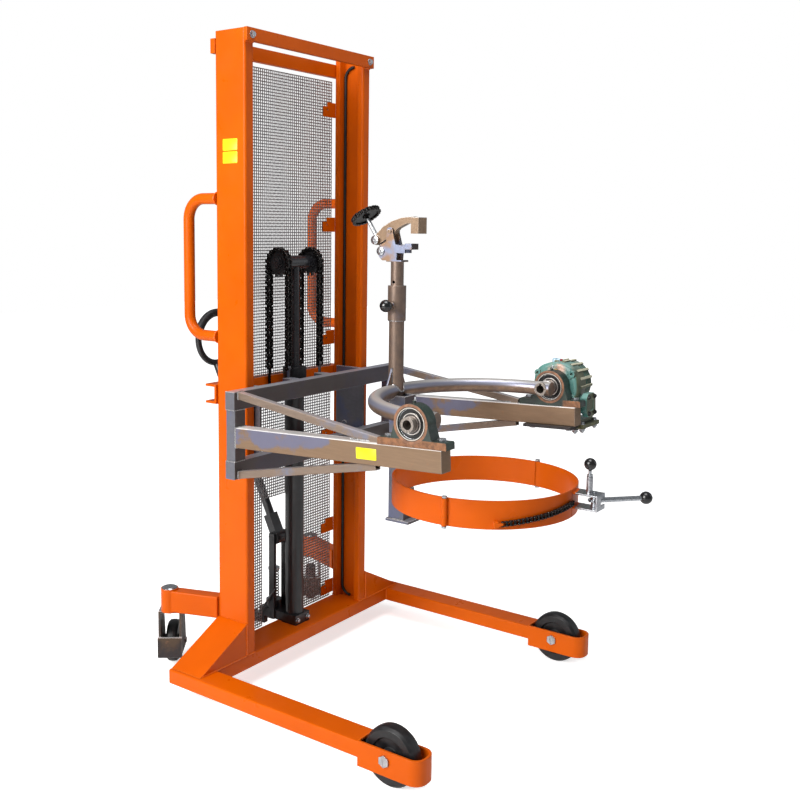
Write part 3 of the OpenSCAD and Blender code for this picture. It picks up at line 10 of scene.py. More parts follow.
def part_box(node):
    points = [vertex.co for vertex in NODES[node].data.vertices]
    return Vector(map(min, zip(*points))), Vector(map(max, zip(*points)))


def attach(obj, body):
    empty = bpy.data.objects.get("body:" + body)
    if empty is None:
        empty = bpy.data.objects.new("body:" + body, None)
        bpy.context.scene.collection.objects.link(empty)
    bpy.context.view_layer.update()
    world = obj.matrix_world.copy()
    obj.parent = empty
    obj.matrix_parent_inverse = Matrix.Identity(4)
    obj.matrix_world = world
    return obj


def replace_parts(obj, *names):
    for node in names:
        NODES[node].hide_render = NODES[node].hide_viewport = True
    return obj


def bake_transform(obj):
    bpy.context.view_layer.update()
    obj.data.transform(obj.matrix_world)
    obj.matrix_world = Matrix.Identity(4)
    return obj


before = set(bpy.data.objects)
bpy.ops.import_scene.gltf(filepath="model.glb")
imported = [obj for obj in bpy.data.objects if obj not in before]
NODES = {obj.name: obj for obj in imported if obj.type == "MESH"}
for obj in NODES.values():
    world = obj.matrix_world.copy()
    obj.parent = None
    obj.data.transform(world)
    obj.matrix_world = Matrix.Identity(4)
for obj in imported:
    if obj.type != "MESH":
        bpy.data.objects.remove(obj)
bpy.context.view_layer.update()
random.seed(7)

# The machine's own planes: X = 0 is the mast's middle and Y = 0 its front face, in millimetres.
mast_low, mast_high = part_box("mast_columns")
MID_X = (mast_low.x + mast_high.x) / 2
FRONT_Y = mast_low.y


def P(x, y, z):
    """A place in the machine's millimetres as a point of the frame in metres."""
    return Vector((MID_X + x / 1000, FRONT_Y + y / 1000, z / 1000))


# The yoke's tilt axis, the arms' rise towards the front in degrees, and the directions square to their tops.
TILT_Y, TILT_Z = -745, 1046
TILT_AXIS = (0, TILT_Y, TILT_Z)
ARM_SLOPE = 2.5
ARM_UP, ARM_DOWN = (0, 0.0436, 0.999), (0, -0.0436, -0.999)
# Heights at the tilt axis: 3 mm below the arms' top, and the top of the plummer blocks' rusty foot.
ARM_EDGE_Z, BLOCK_FOOT_Z = 975.9, 1001.5
# The plummer blocks' middle plane on either side, and the post's middle.
BLOCK_X = 440
POST_Y = -374


# ---- camera, as solved from the photograph
CAMERA_PLACE = (-2790.4, -2298.9, 1595.3)
CAMERA_AZIMUTH, CAMERA_PITCH, CAMERA_ROLL = -53.969, -6.5415, 0.5909
CAMERA_LENS = 45.08
CAMERA_SHIFT = (0.03564, -0.07026)


def place_camera():
    azimuth, pitch, roll = (math.radians(a) for a in (CAMERA_AZIMUTH, CAMERA_PITCH, CAMERA_ROLL))
    forward = Vector((-math.sin(azimuth) * math.cos(pitch), math.cos(azimuth) * math.cos(pitch),
                      math.sin(pitch)))
    right = Vector((math.cos(azimuth), math.sin(azimuth), 0))
    up = right.cross(forward)
    tilted_right = math.cos(roll) * right + math.sin(roll) * up
    tilted_up = -math.sin(roll) * right + math.cos(roll) * up
    data = bpy.data.cameras.new("camera")
    data.sensor_width = 36
    data.lens = CAMERA_LENS
    data.shift_x, data.shift_y = CAMERA_SHIFT
    data.clip_end = 60
    camera = bpy.data.objects.new("camera", data)
    bpy.context.scene.collection.objects.link(camera)
    turn = Matrix((tilted_right, tilted_up, -forward)).transposed()
    camera.matrix_world = Matrix.Translation(P(*CAMERA_PLACE)) @ turn.to_4x4()
    bpy.context.scene.camera = camera


place_camera()


# ---- materials
def lin(r, g, b):
    """An sRGB colour of 0 to 255 as linear values."""
    out = []
    for c in (r, g, b):
        c /= 255
        out.append(c / 12.92 if c <= 0.04045 else ((c + 0.055) / 1.055) ** 2.4)
    return tuple(out) + (1.0,)


class Graph:
    """A small helper for node materials."""

    def __init__(self, name):
        self.mat = bpy.data.materials.new(name)
        self.mat.use_nodes = True
        self.tree = self.mat.node_tree
        self.tree.nodes.clear()
        self.out = self.new("ShaderNodeOutputMaterial")
        self.bsdf = self.new("ShaderNodeBsdfPrincipled")
        self.link(self.bsdf.outputs[0], self.out.inputs[0])
        self.coord = self.new("ShaderNodeTexCoord").outputs["Object"]

    def new(self, kind, **settings):
        node = self.tree.nodes.new(kind)
        for key, value in settings.items():
            setattr(node, key, value)
        return node

    def link(self, a, b):
        self.tree.links.new(a, b)

    def noise(self, scale, detail=4.0, rough=0.55, stretch=None):
        node = self.new("ShaderNodeTexNoise")
        node.inputs["Scale"].default_value = scale
        node.inputs["Detail"].default_value = detail
        node.inputs["Roughness"].default_value = rough
        source = self.coord
        if stretch:
            mapping = self.new("ShaderNodeMapping")
            mapping.inputs["Scale"].default_value = stretch
            self.link(source, mapping.inputs["Vector"])
            source = mapping.outputs[0]
        self.link(source, node.inputs["Vector"])
        return node.outputs[0]

    def ramp(self, value, low, high, out_low=0.0, out_high=1.0):
        node = self.new("ShaderNodeMapRange")
        node.clamp = True
        node.interpolation_type = "SMOOTHSTEP"
        for index, number in enumerate((low, high, out_low, out_high)):
            node.inputs[index + 1].default_value = number
        self.link(value, node.inputs[0])
        return node.outputs[0]

    def mix(self, factor, a, b):
        node = self.new("ShaderNodeMix", data_type="RGBA")
        self.link(factor, node.inputs[0])
        for socket, value in ((node.inputs[6], a), (node.inputs[7], b)):
            if isinstance(value, tuple):
                socket.default_value = value
            else:
                self.link(value, socket)
        return node.outputs[2]

    def math(self, kind, a, b):
        node = self.new("ShaderNodeMath", operation=kind)
        for socket, value in zip(node.inputs, (a, b)):
            if isinstance(value, (int, float)):
                socket.default_value = value
            else:
                self.link(value, socket)
        return node.outputs[0]

    def times(self, a, b):
        return self.math("MULTIPLY", a, b)

    def edges(self, radius, low=0.35, high=0.93):
        """1 near an edge, 0 on the flat, from the difference of the rounded and the true normal."""
        bevel = self.new("ShaderNodeBevel", samples=6)
        bevel.inputs["Radius"].default_value = radius
        true = self.new("ShaderNodeNewGeometry")
        dot = self.new("ShaderNodeVectorMath", operation="DOT_PRODUCT")
        self.link(bevel.outputs[0], dot.inputs[0])
        self.link(true.outputs["Normal"], dot.inputs[1])
        return bevel.outputs[0], self.ramp(dot.outputs["Value"], low, high, 1.0, 0.0)

    def facing(self, direction, low, high, normal=None):
        """1 on faces that look along a direction of the frame."""
        normal = normal or self.new("ShaderNodeNewGeometry").outputs["Normal"]
        dot = self.new("ShaderNodeVectorMath", operation="DOT_PRODUCT")
        dot.inputs[1].default_value = direction
        self.link(normal, dot.inputs[0])
        return self.ramp(dot.outputs["Value"], low, high)

    def beyond(self, place, direction, low, high):
        """1 past a plane: the metres from a machine place along a direction, between two values."""
        shift = self.new("ShaderNodeVectorMath", operation="SUBTRACT")
        shift.inputs[1].default_value = P(*place)
        self.link(self.coord, shift.inputs[0])
        dot = self.new("ShaderNodeVectorMath", operation="DOT_PRODUCT")
        dot.inputs[1].default_value = direction
        self.link(shift.outputs[0], dot.inputs[0])
        return self.ramp(dot.outputs["Value"], low, high)

    def away(self, place, low, high, keep=(1, 1, 0)):
        """1 further than a distance in metres from a machine place, along the axes that are kept."""
        shift = self.new("ShaderNodeVectorMath", operation="SUBTRACT")
        shift.inputs[1].default_value = P(*place)
        self.link(self.coord, shift.inputs[0])
        size = self.new("ShaderNodeVectorMath", operation="MULTIPLY")
        size.inputs[1].default_value = keep
        self.link(shift.outputs[0], size.inputs[0])
        length = self.new("ShaderNodeVectorMath", operation="LENGTH")
        self.link(size.outputs[0], length.inputs[0])
        return self.ramp(length.outputs["Value"], low, high)

    def bump(self, height, strength, distance, normal=None):
        node = self.new("ShaderNodeBump")
        node.inputs["Strength"].default_value = strength
        node.inputs["Distance"].default_value = distance
        self.link(height, node.inputs["Height"])
        if normal is not None:
            self.link(normal, node.inputs["Normal"])
        self.link(node.outputs[0], self.bsdf.inputs["Normal"])

    def finish(self, color, rough, metallic=0.0, coat=0.0, coat_rough=0.1, specular=0.5):
        """Sets the shader; a metallic of None leaves that socket to the link already made."""
        self.link(color, self.bsdf.inputs["Base Color"])
        if isinstance(rough, float):
            self.bsdf.inputs["Roughness"].default_value = rough
        else:
            self.link(rough, self.bsdf.inputs["Roughness"])
        if metallic is not None:
            self.bsdf.inputs["Metallic"].default_value = metallic
        self.bsdf.inputs["Coat Weight"].default_value = coat
        self.bsdf.inputs["Coat Roughness"].default_value = coat_rough
        self.bsdf.inputs["Specular IOR Level"].default_value = specular
        return self.mat


def orange_paint():
    g = Graph("orange_paint")
    rounded, edge = g.edges(0.004)
    cloud = g.ramp(g.noise(3.0, 3.0), 0.35, 0.7)
    color = g.mix(cloud, lin(202, 84, 0), lin(212, 91, 0))
    grime = g.ramp(g.noise(26.0, 6.0, 0.7), 0.62, 0.8)
    color = g.mix(g.times(grime, 0.2), color, lin(176, 76, 4))
    # Painted highlight: near the edges the paint is mixed towards pale orange.
    color = g.mix(g.times(edge, 0.35), color, lin(255, 160, 70))
    fine = g.noise(420.0, 2.0)
    g.bump(fine, 0.05, 0.0006, rounded)
    rough = g.ramp(g.noise(18.0, 4.0), 0.2, 0.8, 0.26, 0.4)
    return g.finish(color, rough, 0.0, 0.03, 0.12, 0.14)


def band_with_bracket():
    """Orange like the rest, with the zinc plated latch bracket outside the band's front."""
    g = Graph("right_band_paint")
    rounded, edge = g.edges(0.003)
    cloud = g.ramp(g.noise(3.0, 3.0), 0.35, 0.7)
    paint = g.mix(cloud, lin(202, 84, 0), lin(212, 91, 0))
    # Painted highlight on the paint's edges.
    paint = g.mix(g.times(edge, 0.25), paint, lin(255, 156, 50))
    zinc = g.mix(g.ramp(g.noise(150.0, 4.0), 0.3, 0.7), lin(206, 208, 212), lin(150, 152, 158))
    # Painted highlight on the zinc bracket's edges.
    zinc = g.mix(g.times(edge, 0.6), zinc, lin(240, 242, 246))
    outside = g.away((0, -728, 0), 0.3088, 0.3098)
    near = g.beyond((83, 0, 0), (-1, 0, 0), 0.0, 0.001)
    share = g.times(outside, near)
    g.bump(g.noise(400.0, 2.0), 0.05, 0.0006, rounded)
    g.link(share, g.bsdf.inputs["Metallic"])
    return g.finish(g.mix(share, paint, zinc), 0.3, None, 0.03, 0.12, 0.16)


def weld_paint():
    """Orange over weld beads."""
    g = Graph("weld_paint")
    color = g.mix(g.noise(160.0, 4.0), lin(208, 84, 0), lin(236, 112, 14))
    g.bump(g.noise(650.0, 3.0), 0.35, 0.001)
    return g.finish(color, 0.3, 0.0, 0.1, 0.1, 0.3)


def bare_steel(name, tan, blue, blue_share, rough, metallic, streak, front=None, rise=None):
    """Rolled steel with tan scale, violet-blue heat tints, pale top faces that are painted light, and bright
    edges that are partly wear and partly painted highlight.

    front darkens the faces to the front as painted shade; rise, a plane, brings more blue and a pale top edge
    to the arms, a painted highlight with some wear.
    """
    g = Graph(name)
    rounded, edge = g.edges(0.006, 0.6, 0.985)
    blotch = g.noise(6.0, 6.0, 0.62)
    if rise:
        blotch = g.math("ADD", blotch, g.times(g.beyond(*rise), 0.18))
        clear = g.beyond((0, -400, 0), (0, -1, 0), 0.0, 0.22)
        blotch = g.math("SUBTRACT", blotch, g.times(clear, 0.3))
        arm_top = g.beyond((0, TILT_Y, ARM_EDGE_Z), ARM_UP, 0.0, 0.0015)
    tint = g.ramp(blotch, 0.56 - 0.16 * blue_share, 0.64 - 0.1 * blue_share)
    fine = g.noise(120.0, 6.0, 0.7, streak)
    base = g.mix(g.ramp(fine, 0.3, 0.7), tan, tuple(0.86 * c for c in tan[:3]) + (1.0,))
    color = g.mix(g.times(tint, 0.85), base, blue)
    warm = g.ramp(g.noise(21.0, 5.0, 0.7), 0.6, 0.72)
    color = g.mix(g.times(warm, 0.4), color, lin(150, 108, 76))
    # Painted shade: faces to the front are mixed towards the darker front colour.
    if front:
        color = g.mix(g.times(g.facing((0, -1, 0), 0.5, 0.9), 0.75), color, front)
    # Painted light: faces that look up are mixed towards pale grey.
    top = g.facing((0, 0, 1), 0.6, 0.95)
    color = g.mix(g.times(top, 0.55), color, lin(196, 196, 202))
    # Painted highlight on the edges that face up; all edges are also lightened a little, partly wear and
    # partly painted highlight.
    upward_edge_highlight = g.times(edge, g.facing((0, 0, 1), 0.12, 0.35, rounded))
    color = g.mix(g.times(edge, 0.25), color, lin(206, 204, 204))
    color = g.mix(upward_edge_highlight, color, lin(250, 248, 246))
    if rise:
        # Painted highlight along the arms' top edge, partly wear.
        color = g.mix(g.times(arm_top, 0.85), color, lin(244, 242, 240))
    g.bump(fine, 0.08, 0.0006)
    return g.finish(color, g.ramp(g.noise(40.0, 5.0), 0.2, 0.8, *rough), metallic)


# The lower jaw's steel begins at this height on the inner tube.
JAW_FOOT = (0, 0, 1487)


def tube_steel(name="tube_steel", jaw=False):
    """Drawn tube: painted highlight on top, blue-grey painted reflection above the middle, brown below it and
    painted shade underneath.
    """
    g = Graph(name)
    rounded, edge = g.edges(0.002)
    streak = g.noise(30.0, 4.0, 0.6)
    tone = g.mix(g.ramp(streak, 0.35, 0.7), lin(136, 112, 92), lin(116, 96, 80))
    # Painted reflection: faces turned up are mixed towards blue-grey.
    blue = g.facing((0, 0, 1), -0.1, 0.4)
    tone = g.mix(g.times(blue, 0.9), tone, lin(140, 144, 164))
    # Painted highlight on the top.
    top = g.facing((0, 0, 1), 0.55, 0.95)
    tone = g.mix(g.times(top, 0.8), tone, lin(216, 210, 202))
    # Painted shade underneath.
    under = g.facing((0, 0, -1), 0.3, 0.9)
    tone = g.mix(g.times(under, 0.7), tone, lin(74, 64, 62))
    stain = g.ramp(g.noise(12.0, 6.0, 0.7), 0.6, 0.75)
    tone = g.mix(g.times(stain, 0.3), tone, lin(112, 118, 144))
    if jaw:
        heat = g.mix(g.ramp(g.noise(20.0, 4.0), 0.4, 0.58), lin(150, 160, 188), lin(166, 134, 108))
        tone = g.mix(g.times(g.beyond(JAW_FOOT, (0, 0, 1), 0.0, 0.002), 0.9), tone, heat)
        shade = g.times(g.beyond(JAW_FOOT, (0, 0, 1), 0.0, 0.002), g.facing((0, -1, 0), 0.3, 0.8))
        tone = g.mix(g.times(shade, 0.9), tone, lin(52, 40, 34))
    # Painted highlight on the edges.
    tone = g.mix(g.times(edge, 0.5), tone, lin(206, 208, 212))
    g.bump(g.noise(300.0, 3.0), 0.04, 0.0005, rounded)
    return g.finish(tone, g.ramp(streak, 0.2, 0.8, 0.3, 0.4), 0.55)


def latch_steel(name, inside):
    """Bright lever or pin whose ball grip is black plastic; inside(g) is 1 on the metal."""
    g = Graph(name)
    rounded, edge = g.edges(0.001)
    streak = g.noise(260.0, 4.0, 0.6)
    tone = g.mix(g.ramp(streak, 0.35, 0.7), lin(196, 200, 206), lin(134, 138, 144))
    metal = inside(g)
    dark = g.mix(g.ramp(g.noise(40.0, 3.0), 0.4, 0.7), lin(13, 13, 14), lin(30, 29, 30))
    g.link(g.times(metal, 0.9), g.bsdf.inputs["Metallic"])
    g.bump(streak, 0.05, 0.0004, rounded)
    # Painted highlight on the edges.
    tone = g.mix(g.times(edge, 0.5), tone, lin(240, 242, 246))
    return g.finish(g.mix(metal, dark, tone), 0.24, None, 0.3)


def machine(point):
    """A point of the frame in the machine's millimetres."""
    return ((point.x - MID_X) * 1000, (point.y - FRONT_Y) * 1000, point.z * 1000)


BALL_R = 20.0


def lever_metal(g):
    low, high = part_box("latch_lever")
    x, y, z = machine(Vector((high.x, low.y, 0)))
    return g.away((x - BALL_R, y + BALL_R, 0), 0.0206, 0.0209)


def pin_metal(g):
    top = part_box("latch_pin")[1]
    return g.beyond((0, 0, top.z * 1000 - 2 * BALL_R), (0, 0, -1), 0.0, 0.0004)


def shaft_steel():
    """Turned shafts; the bearings' inner rings and collars are darker than the shaft."""
    g = Graph("shaft_steel")
    rounded, edge = g.edges(0.0012)
    streak = g.noise(220.0, 4.0, 0.6)
    tone = g.mix(g.ramp(streak, 0.35, 0.7), lin(176, 166, 156), lin(126, 118, 114))
    ring = g.away(TILT_AXIS, 0.0236, 0.0242, (0, 1, 1))
    near = g.math("SUBTRACT", 1.0, g.away(TILT_AXIS, 0.036, 0.037, (0, 1, 1)))
    tone = g.mix(g.times(g.times(ring, near), 0.85), tone, lin(58, 54, 58))
    lip = g.times(g.away(TILT_AXIS, 0.0288, 0.0292, (0, 1, 1)), near)
    tone = g.mix(g.times(lip, 0.9), tone, lin(230, 224, 218))
    # Painted highlight on the edges.
    tone = g.mix(g.times(edge, 0.8), tone, lin(238, 232, 226))
    g.bump(streak, 0.06, 0.0004, rounded)
    return g.finish(tone, 0.3, 0.75)


def clamp_screw_steel():
    """Zinc screw whose chain wheel at the top is blackened."""
    g = Graph("clamp_screw_steel")
    rounded, edge = g.edges(0.001)
    streak = g.noise(260.0, 4.0, 0.6)
    tone = g.mix(g.ramp(streak, 0.35, 0.7), lin(205, 208, 212), lin(150, 152, 156))
    wheel = g.beyond((0, -255, 1649), (0, 0.5519, 0.8339), -0.014, -0.013)
    dark = g.mix(g.ramp(g.noise(90.0, 4.0), 0.4, 0.7), lin(24, 23, 24), lin(52, 48, 46))
    tone = g.mix(wheel, tone, dark)
    # Painted highlight on the edges.
    tone = g.mix(g.times(edge, 0.5), tone, lin(190, 190, 190))
    g.bump(streak, 0.06, 0.0004, rounded)
    return g.finish(tone, 0.3, 0.85)


def black_paint(name, color, rough_low, rough_high, coat=0.2):
    g = Graph(name)
    rounded, edge = g.edges(0.002)
    dust = g.ramp(g.noise(9.0, 6.0, 0.65), 0.45, 0.8)
    tone = g.mix(g.times(dust, 0.4), color, lin(52, 52, 56))
    # Painted highlight on the edges.
    tone = g.mix(g.times(edge, 0.35), tone, lin(96, 96, 100))
    g.bump(g.noise(300.0, 3.0), 0.08, 0.0008, rounded)
    rough = g.ramp(g.noise(25.0, 4.0), 0.2, 0.8, rough_low, rough_high)
    return g.finish(tone, rough, 0.0, coat)


def chain_steel():
    """Oiled black chain with bright edges, partly wear and partly painted highlight."""
    g = Graph("chain_steel")
    rounded, edge = g.edges(0.0012)
    oil = g.ramp(g.noise(140.0, 4.0), 0.4, 0.75)
    tone = g.mix(oil, lin(16, 16, 18), lin(48, 44, 42))
    # Painted highlight on the edges, partly wear.
    tone = g.mix(g.times(edge, 0.7), tone, lin(188, 182, 176))
    g.bump(g.noise(900.0, 2.0), 0.1, 0.0005, rounded)
    return g.finish(tone, g.ramp(oil, 0.0, 1.0, 0.24, 0.42), 0.75)


def bright_steel(name="bright_steel", light=(205, 208, 212), dark=(150, 152, 156), rough=(0.18, 0.34)):
    g = Graph(name)
    rounded, edge = g.edges(0.001)
    streak = g.noise(260.0, 4.0, 0.6, (1.0, 1.0, 0.12))
    tone = g.mix(g.ramp(streak, 0.35, 0.7), lin(*light), lin(*dark))
    # Painted highlight on the edges.
    tone = g.mix(g.times(edge, 0.5), tone, lin(240, 242, 246))
    g.bump(streak, 0.06, 0.0004, rounded)
    return g.finish(tone, g.ramp(g.noise(60.0, 4.0), 0.2, 0.8, *rough), 0.95)


def tyre():
    g = Graph("tyre")
    rounded, edge = g.edges(0.003)
    dust = g.ramp(g.noise(30.0, 6.0, 0.7), 0.4, 0.8)
    tone = g.mix(dust, lin(15, 15, 17), lin(40, 40, 43))
    # Painted highlight on the edges.
    tone = g.mix(g.times(edge, 0.3), tone, lin(110, 110, 114))
    g.bump(g.noise(380.0, 4.0), 0.2, 0.001, rounded)
    return g.finish(tone, g.ramp(dust, 0.0, 1.0, 0.36, 0.6), 0.0)


def block_casting():
    """Plummer blocks: copper-brown rim round the seal, rusty front foot, the rest near-black green."""
    g = Graph("green_casting")
    rounded, edge = g.edges(0.0025)
    tone = g.mix(g.ramp(g.noise(14.0, 4.0), 0.3, 0.7), lin(44, 62, 54), lin(32, 42, 38))
    grain = g.ramp(g.noise(55.0, 6.0, 0.7), 0.35, 0.65)
    rust = g.mix(grain, lin(150, 98, 58), lin(104, 64, 36))
    left = g.facing((-0.96, -0.2, 0.0), 0.5, 0.9)
    foot = g.math("MAXIMUM", g.beyond((0, -795, 1010), (0, -1, 0), 0.0, 0.012),
                  g.beyond((0, 0, 0), (-1, 0, 0), 0.0, 0.01))
    low = g.beyond((0, TILT_Y, BLOCK_FOOT_Z), ARM_DOWN, 0.0, 0.0008)
    foot = g.times(g.times(foot, left), low)
    rim = g.times(g.away(TILT_AXIS, 0.0452, 0.0456, (0, 1, 1)),
                 g.math("SUBTRACT", 1.0, g.away(TILT_AXIS, 0.0575, 0.0585, (0, 1, 1))))
    rim = g.times(rim, left)
    tone = g.mix(g.times(foot, 0.9), tone, rust)
    tone = g.mix(g.times(rim, 0.9), tone, g.mix(grain, lin(60, 44, 36), lin(44, 34, 30)))
    inner = g.times(rim, g.math("SUBTRACT", 1.0, g.away(TILT_AXIS, 0.0472, 0.0478, (0, 1, 1))))
    tone = g.mix(inner, tone, lin(214, 206, 196))
    lip = g.times(rim, g.away(TILT_AXIS, 0.0498, 0.0504, (0, 1, 1)))
    tone = g.mix(g.times(lip, 0.9), tone, g.mix(grain, lin(160, 112, 80), lin(120, 80, 56)))
    # Painted highlight on the edges.
    tone = g.mix(g.times(edge, 0.45), tone, lin(196, 156, 120))
    g.bump(g.noise(240.0, 6.0, 0.7), 0.4, 0.0012, rounded)
    return g.finish(tone, g.ramp(grain, 0.0, 1.0, 0.36, 0.58), 0.0, 0.1)


def fin_paint():
    """Gearbox fins: olive flanks, with a cream painted highlight on the tops."""
    g = Graph("fin_paint")
    rounded, edge = g.edges(0.0015)
    tone = g.mix(g.ramp(g.noise(30.0, 4.0), 0.3, 0.7), lin(104, 104, 72), lin(78, 82, 56))
    # Painted highlight: the fins' tops, lit from above, are mixed towards cream.
    top = g.facing((0, -0.35, 0.94), 0.2, 0.75)
    tone = g.mix(g.times(top, 0.9), tone, lin(224, 220, 192))
    # Painted highlight on the edges.
    tone = g.mix(g.times(edge, 0.5), tone, lin(236, 232, 208))
    g.bump(g.noise(240.0, 6.0, 0.7), 0.3, 0.001, rounded)
    return g.finish(tone, 0.42, 0.0, 0.1)


def gear_casting():
    """Gearbox paint: teal on the left face with a pinkish worn fan above the shaft, olive on the front."""
    g = Graph("teal_casting")
    rounded, edge = g.edges(0.0025)
    tone = g.mix(g.ramp(g.noise(14.0, 4.0), 0.3, 0.7), lin(96, 148, 140), lin(62, 112, 108))
    olive = g.mix(g.ramp(g.noise(18.0, 4.0), 0.3, 0.7), lin(98, 96, 66), lin(70, 70, 46))
    tone = g.mix(g.times(g.facing((0, -1, 0), 0.25, 0.75), 0.9), tone, olive)
    # Painted light: faces that look up are mixed towards a paler teal.
    top = g.facing((0, 0, 1), 0.5, 0.9)
    tone = g.mix(g.times(top, 0.5), tone, lin(150, 186, 178))
    patchy = g.ramp(g.noise(30.0, 6.0, 0.7), 0.34, 0.6)
    fan = g.math("SUBTRACT", 1.0, g.away((0, -748, 1098), 0.022, 0.042, (0, 1, 1)))
    fan = g.times(fan, g.facing((-1, 0, 0), 0.6, 0.9))
    tone = g.mix(g.times(g.times(fan, patchy), 0.85), tone, lin(226, 176, 152))
    rust = g.ramp(g.noise(24.0, 7.0, 0.7), 0.58, 0.7)
    tone = g.mix(g.times(rust, 0.25), tone, lin(150, 112, 80))
    # Painted highlight on the edges.
    tone = g.mix(g.times(edge, 0.6), tone, lin(222, 220, 196))
    g.bump(g.noise(240.0, 6.0, 0.7), 0.35, 0.0012, rounded)
    return g.finish(tone, g.ramp(rust, 0.0, 1.0, 0.34, 0.55), 0.0, 0.1)


def plain(name, a, b, scale, rough, bump_scale=300.0, bump=0.1, metallic=0.0):
    g = Graph(name)
    tone = g.mix(g.ramp(g.noise(scale, 4.0), 0.3, 0.7), a, b)
    g.bump(g.noise(bump_scale, 3.0), bump, 0.0008)
    return g.finish(tone, rough, metallic)


def wire():
    g = Graph("galvanised_wire")
    spangle = g.ramp(g.noise(90.0, 3.0), 0.35, 0.7)
    tone = g.mix(spangle, lin(104, 98, 98), lin(146, 142, 144))
    patch = g.ramp(g.noise(5.0, 4.0), 0.45, 0.65)
    tone = g.mix(g.times(patch, 0.35), tone, lin(140, 122, 114))
    g.bump(g.noise(500.0, 2.0), 0.15, 0.0006)
    return g.finish(tone, 0.42, 0.55)


MAT = {
    "orange": orange_paint(),
    "weld_paint": weld_paint(),
    "arm_steel": bare_steel("arm_steel", lin(136, 110, 86), lin(104, 108, 134), 0.0, (0.36, 0.5), 0.4,
                            (0.3, 0.08, 1.0), None, ((-461, -330, 912), (0.0, 0.12, 0.99), -0.012, 0.026)),
    "brace_steel": bare_steel("brace_steel", lin(136, 118, 104), lin(118, 122, 140), 0.35, (0.32, 0.46), 0.45,
                              (0.3, 0.08, 1.0)),
    # frame_steel's last colour is painted shade for its faces to the front.
    "frame_steel": bare_steel("frame_steel", lin(112, 112, 120), lin(100, 106, 134), 0.5, (0.32, 0.48), 0.45,
                              (0.08, 0.5, 1.0), lin(78, 68, 62)),
    "tube_steel": tube_steel(),
    "head_steel": tube_steel("head_steel", True),
    "jaw_steel": bare_steel("jaw_steel", lin(150, 124, 100), lin(150, 158, 180), 0.1, (0.3, 0.46), 0.4,
                            (1.0, 0.3, 0.3)),
    "right_band": band_with_bracket(),
    "screw": clamp_screw_steel(),
    "fork_steel": bare_steel("fork_steel", lin(84, 68, 54), lin(46, 44, 48), 1.0, (0.4, 0.6), 0.4,
                             (1.0, 1.0, 0.3)),
    "plate_steel": plain("plate_steel", lin(66, 62, 62), lin(48, 46, 48), 30.0, 0.45, 200.0, 0.15, 0.3),
    "olive": plain("olive_casting", lin(104, 104, 70), lin(76, 78, 52), 40.0, 0.45, 200.0, 0.3),
    "pale_cap": plain("breather_plastic", lin(178, 206, 222), lin(150, 182, 206), 80.0, 0.3),
    "latch": latch_steel("latch_steel", lever_metal),
    "latch_pin": latch_steel("latch_pin_steel", pin_metal),
    "black": black_paint("black_paint", lin(22, 22, 25), 0.28, 0.46),
    "ram": black_paint("ram_steel", lin(34, 34, 38), 0.2, 0.34, 0.4),
    "knob": black_paint("black_plastic", lin(12, 12, 13), 0.12, 0.22, 0.6),
    "chain": chain_steel(),
    "bright": bright_steel(),
    "shaft": shaft_steel(),
    "tyre": tyre(),
    "green": block_casting(),
    "teal": gear_casting(),
    "fin": fin_paint(),
    "wire": wire(),
    "rubber": plain("black_rubber", lin(18, 18, 20), lin(34, 34, 37), 40.0, 0.5, 260.0, 0.2),
    "seal": plain("black_seal", lin(14, 14, 15), lin(30, 29, 30), 60.0, 0.36, 400.0, 0.1),
    "label": plain("yellow_label", lin(242, 232, 22), lin(232, 222, 16), 12.0, 0.35, 500.0, 0.04),
    "brass": plain("brass", lin(214, 170, 96), lin(178, 130, 64), 90.0, 0.34, 400.0, 0.1, 0.6),
    "cap_red": plain("red_cap", lin(150, 30, 26), lin(120, 22, 20), 60.0, 0.35),
    "bead": plain("weld_bead", lin(196, 196, 198), lin(128, 122, 120), 220.0, 0.34, 700.0, 0.4, 0.8),
    "spring": bright_steel("spring_steel", (150, 146, 142), (70, 66, 64), (0.22, 0.36)),
}

NODE_MATS = {
    "orange": "cross_beam front_legs outrigger_gussets rear_arms mast_columns mast_bars push_handles "
              "guard_tabs rear_band left_band",
    "right_band": "right_band",
    "screw": "clamp_screw",
    "black": "lift_cylinder pump_block tiller release_pedal left_sprocket right_sprocket",
    "ram": "ram",
    "chain": "lift_chains rim_chain band_chain chain_anchors",
    "spring": "pump_spring",
    "arm_steel": "carriage_arms",
    "brace_steel": "arm_braces",
    "plate_steel": "gearbox_plate",
    "latch": "latch_lever",
    "latch_pin": "latch_pin",
    "frame_steel": "carriage_frame support_bar",
    "tube_steel": "yoke post",
    "head_steel": "inner_tube",
    "jaw_steel": "upper_jaw",
    "fork_steel": "left_caster_fork right_caster_fork",
    "bright": "boss_caps front_axles pump_plunger bearing_rings carriage_bolts band_pins "
              "left_low_roller left_high_roller right_low_roller right_high_roller",
    "shaft": "stub_shafts worm_shaft",
    "tyre": "left_front_wheel right_front_wheel left_caster_wheel right_caster_wheel",
    "green": "plummer_blocks",
    "teal": "gearbox",
    "wire": "upper_guard lower_guard",
    "knob": "plunger_knob",
    "rubber": "mast_hose tiller_grip",
}
for key, names in NODE_MATS.items():
    for node_name in names.split():
        slots = NODES[node_name].data.materials
        slots.clear()
        slots.append(MAT[key])


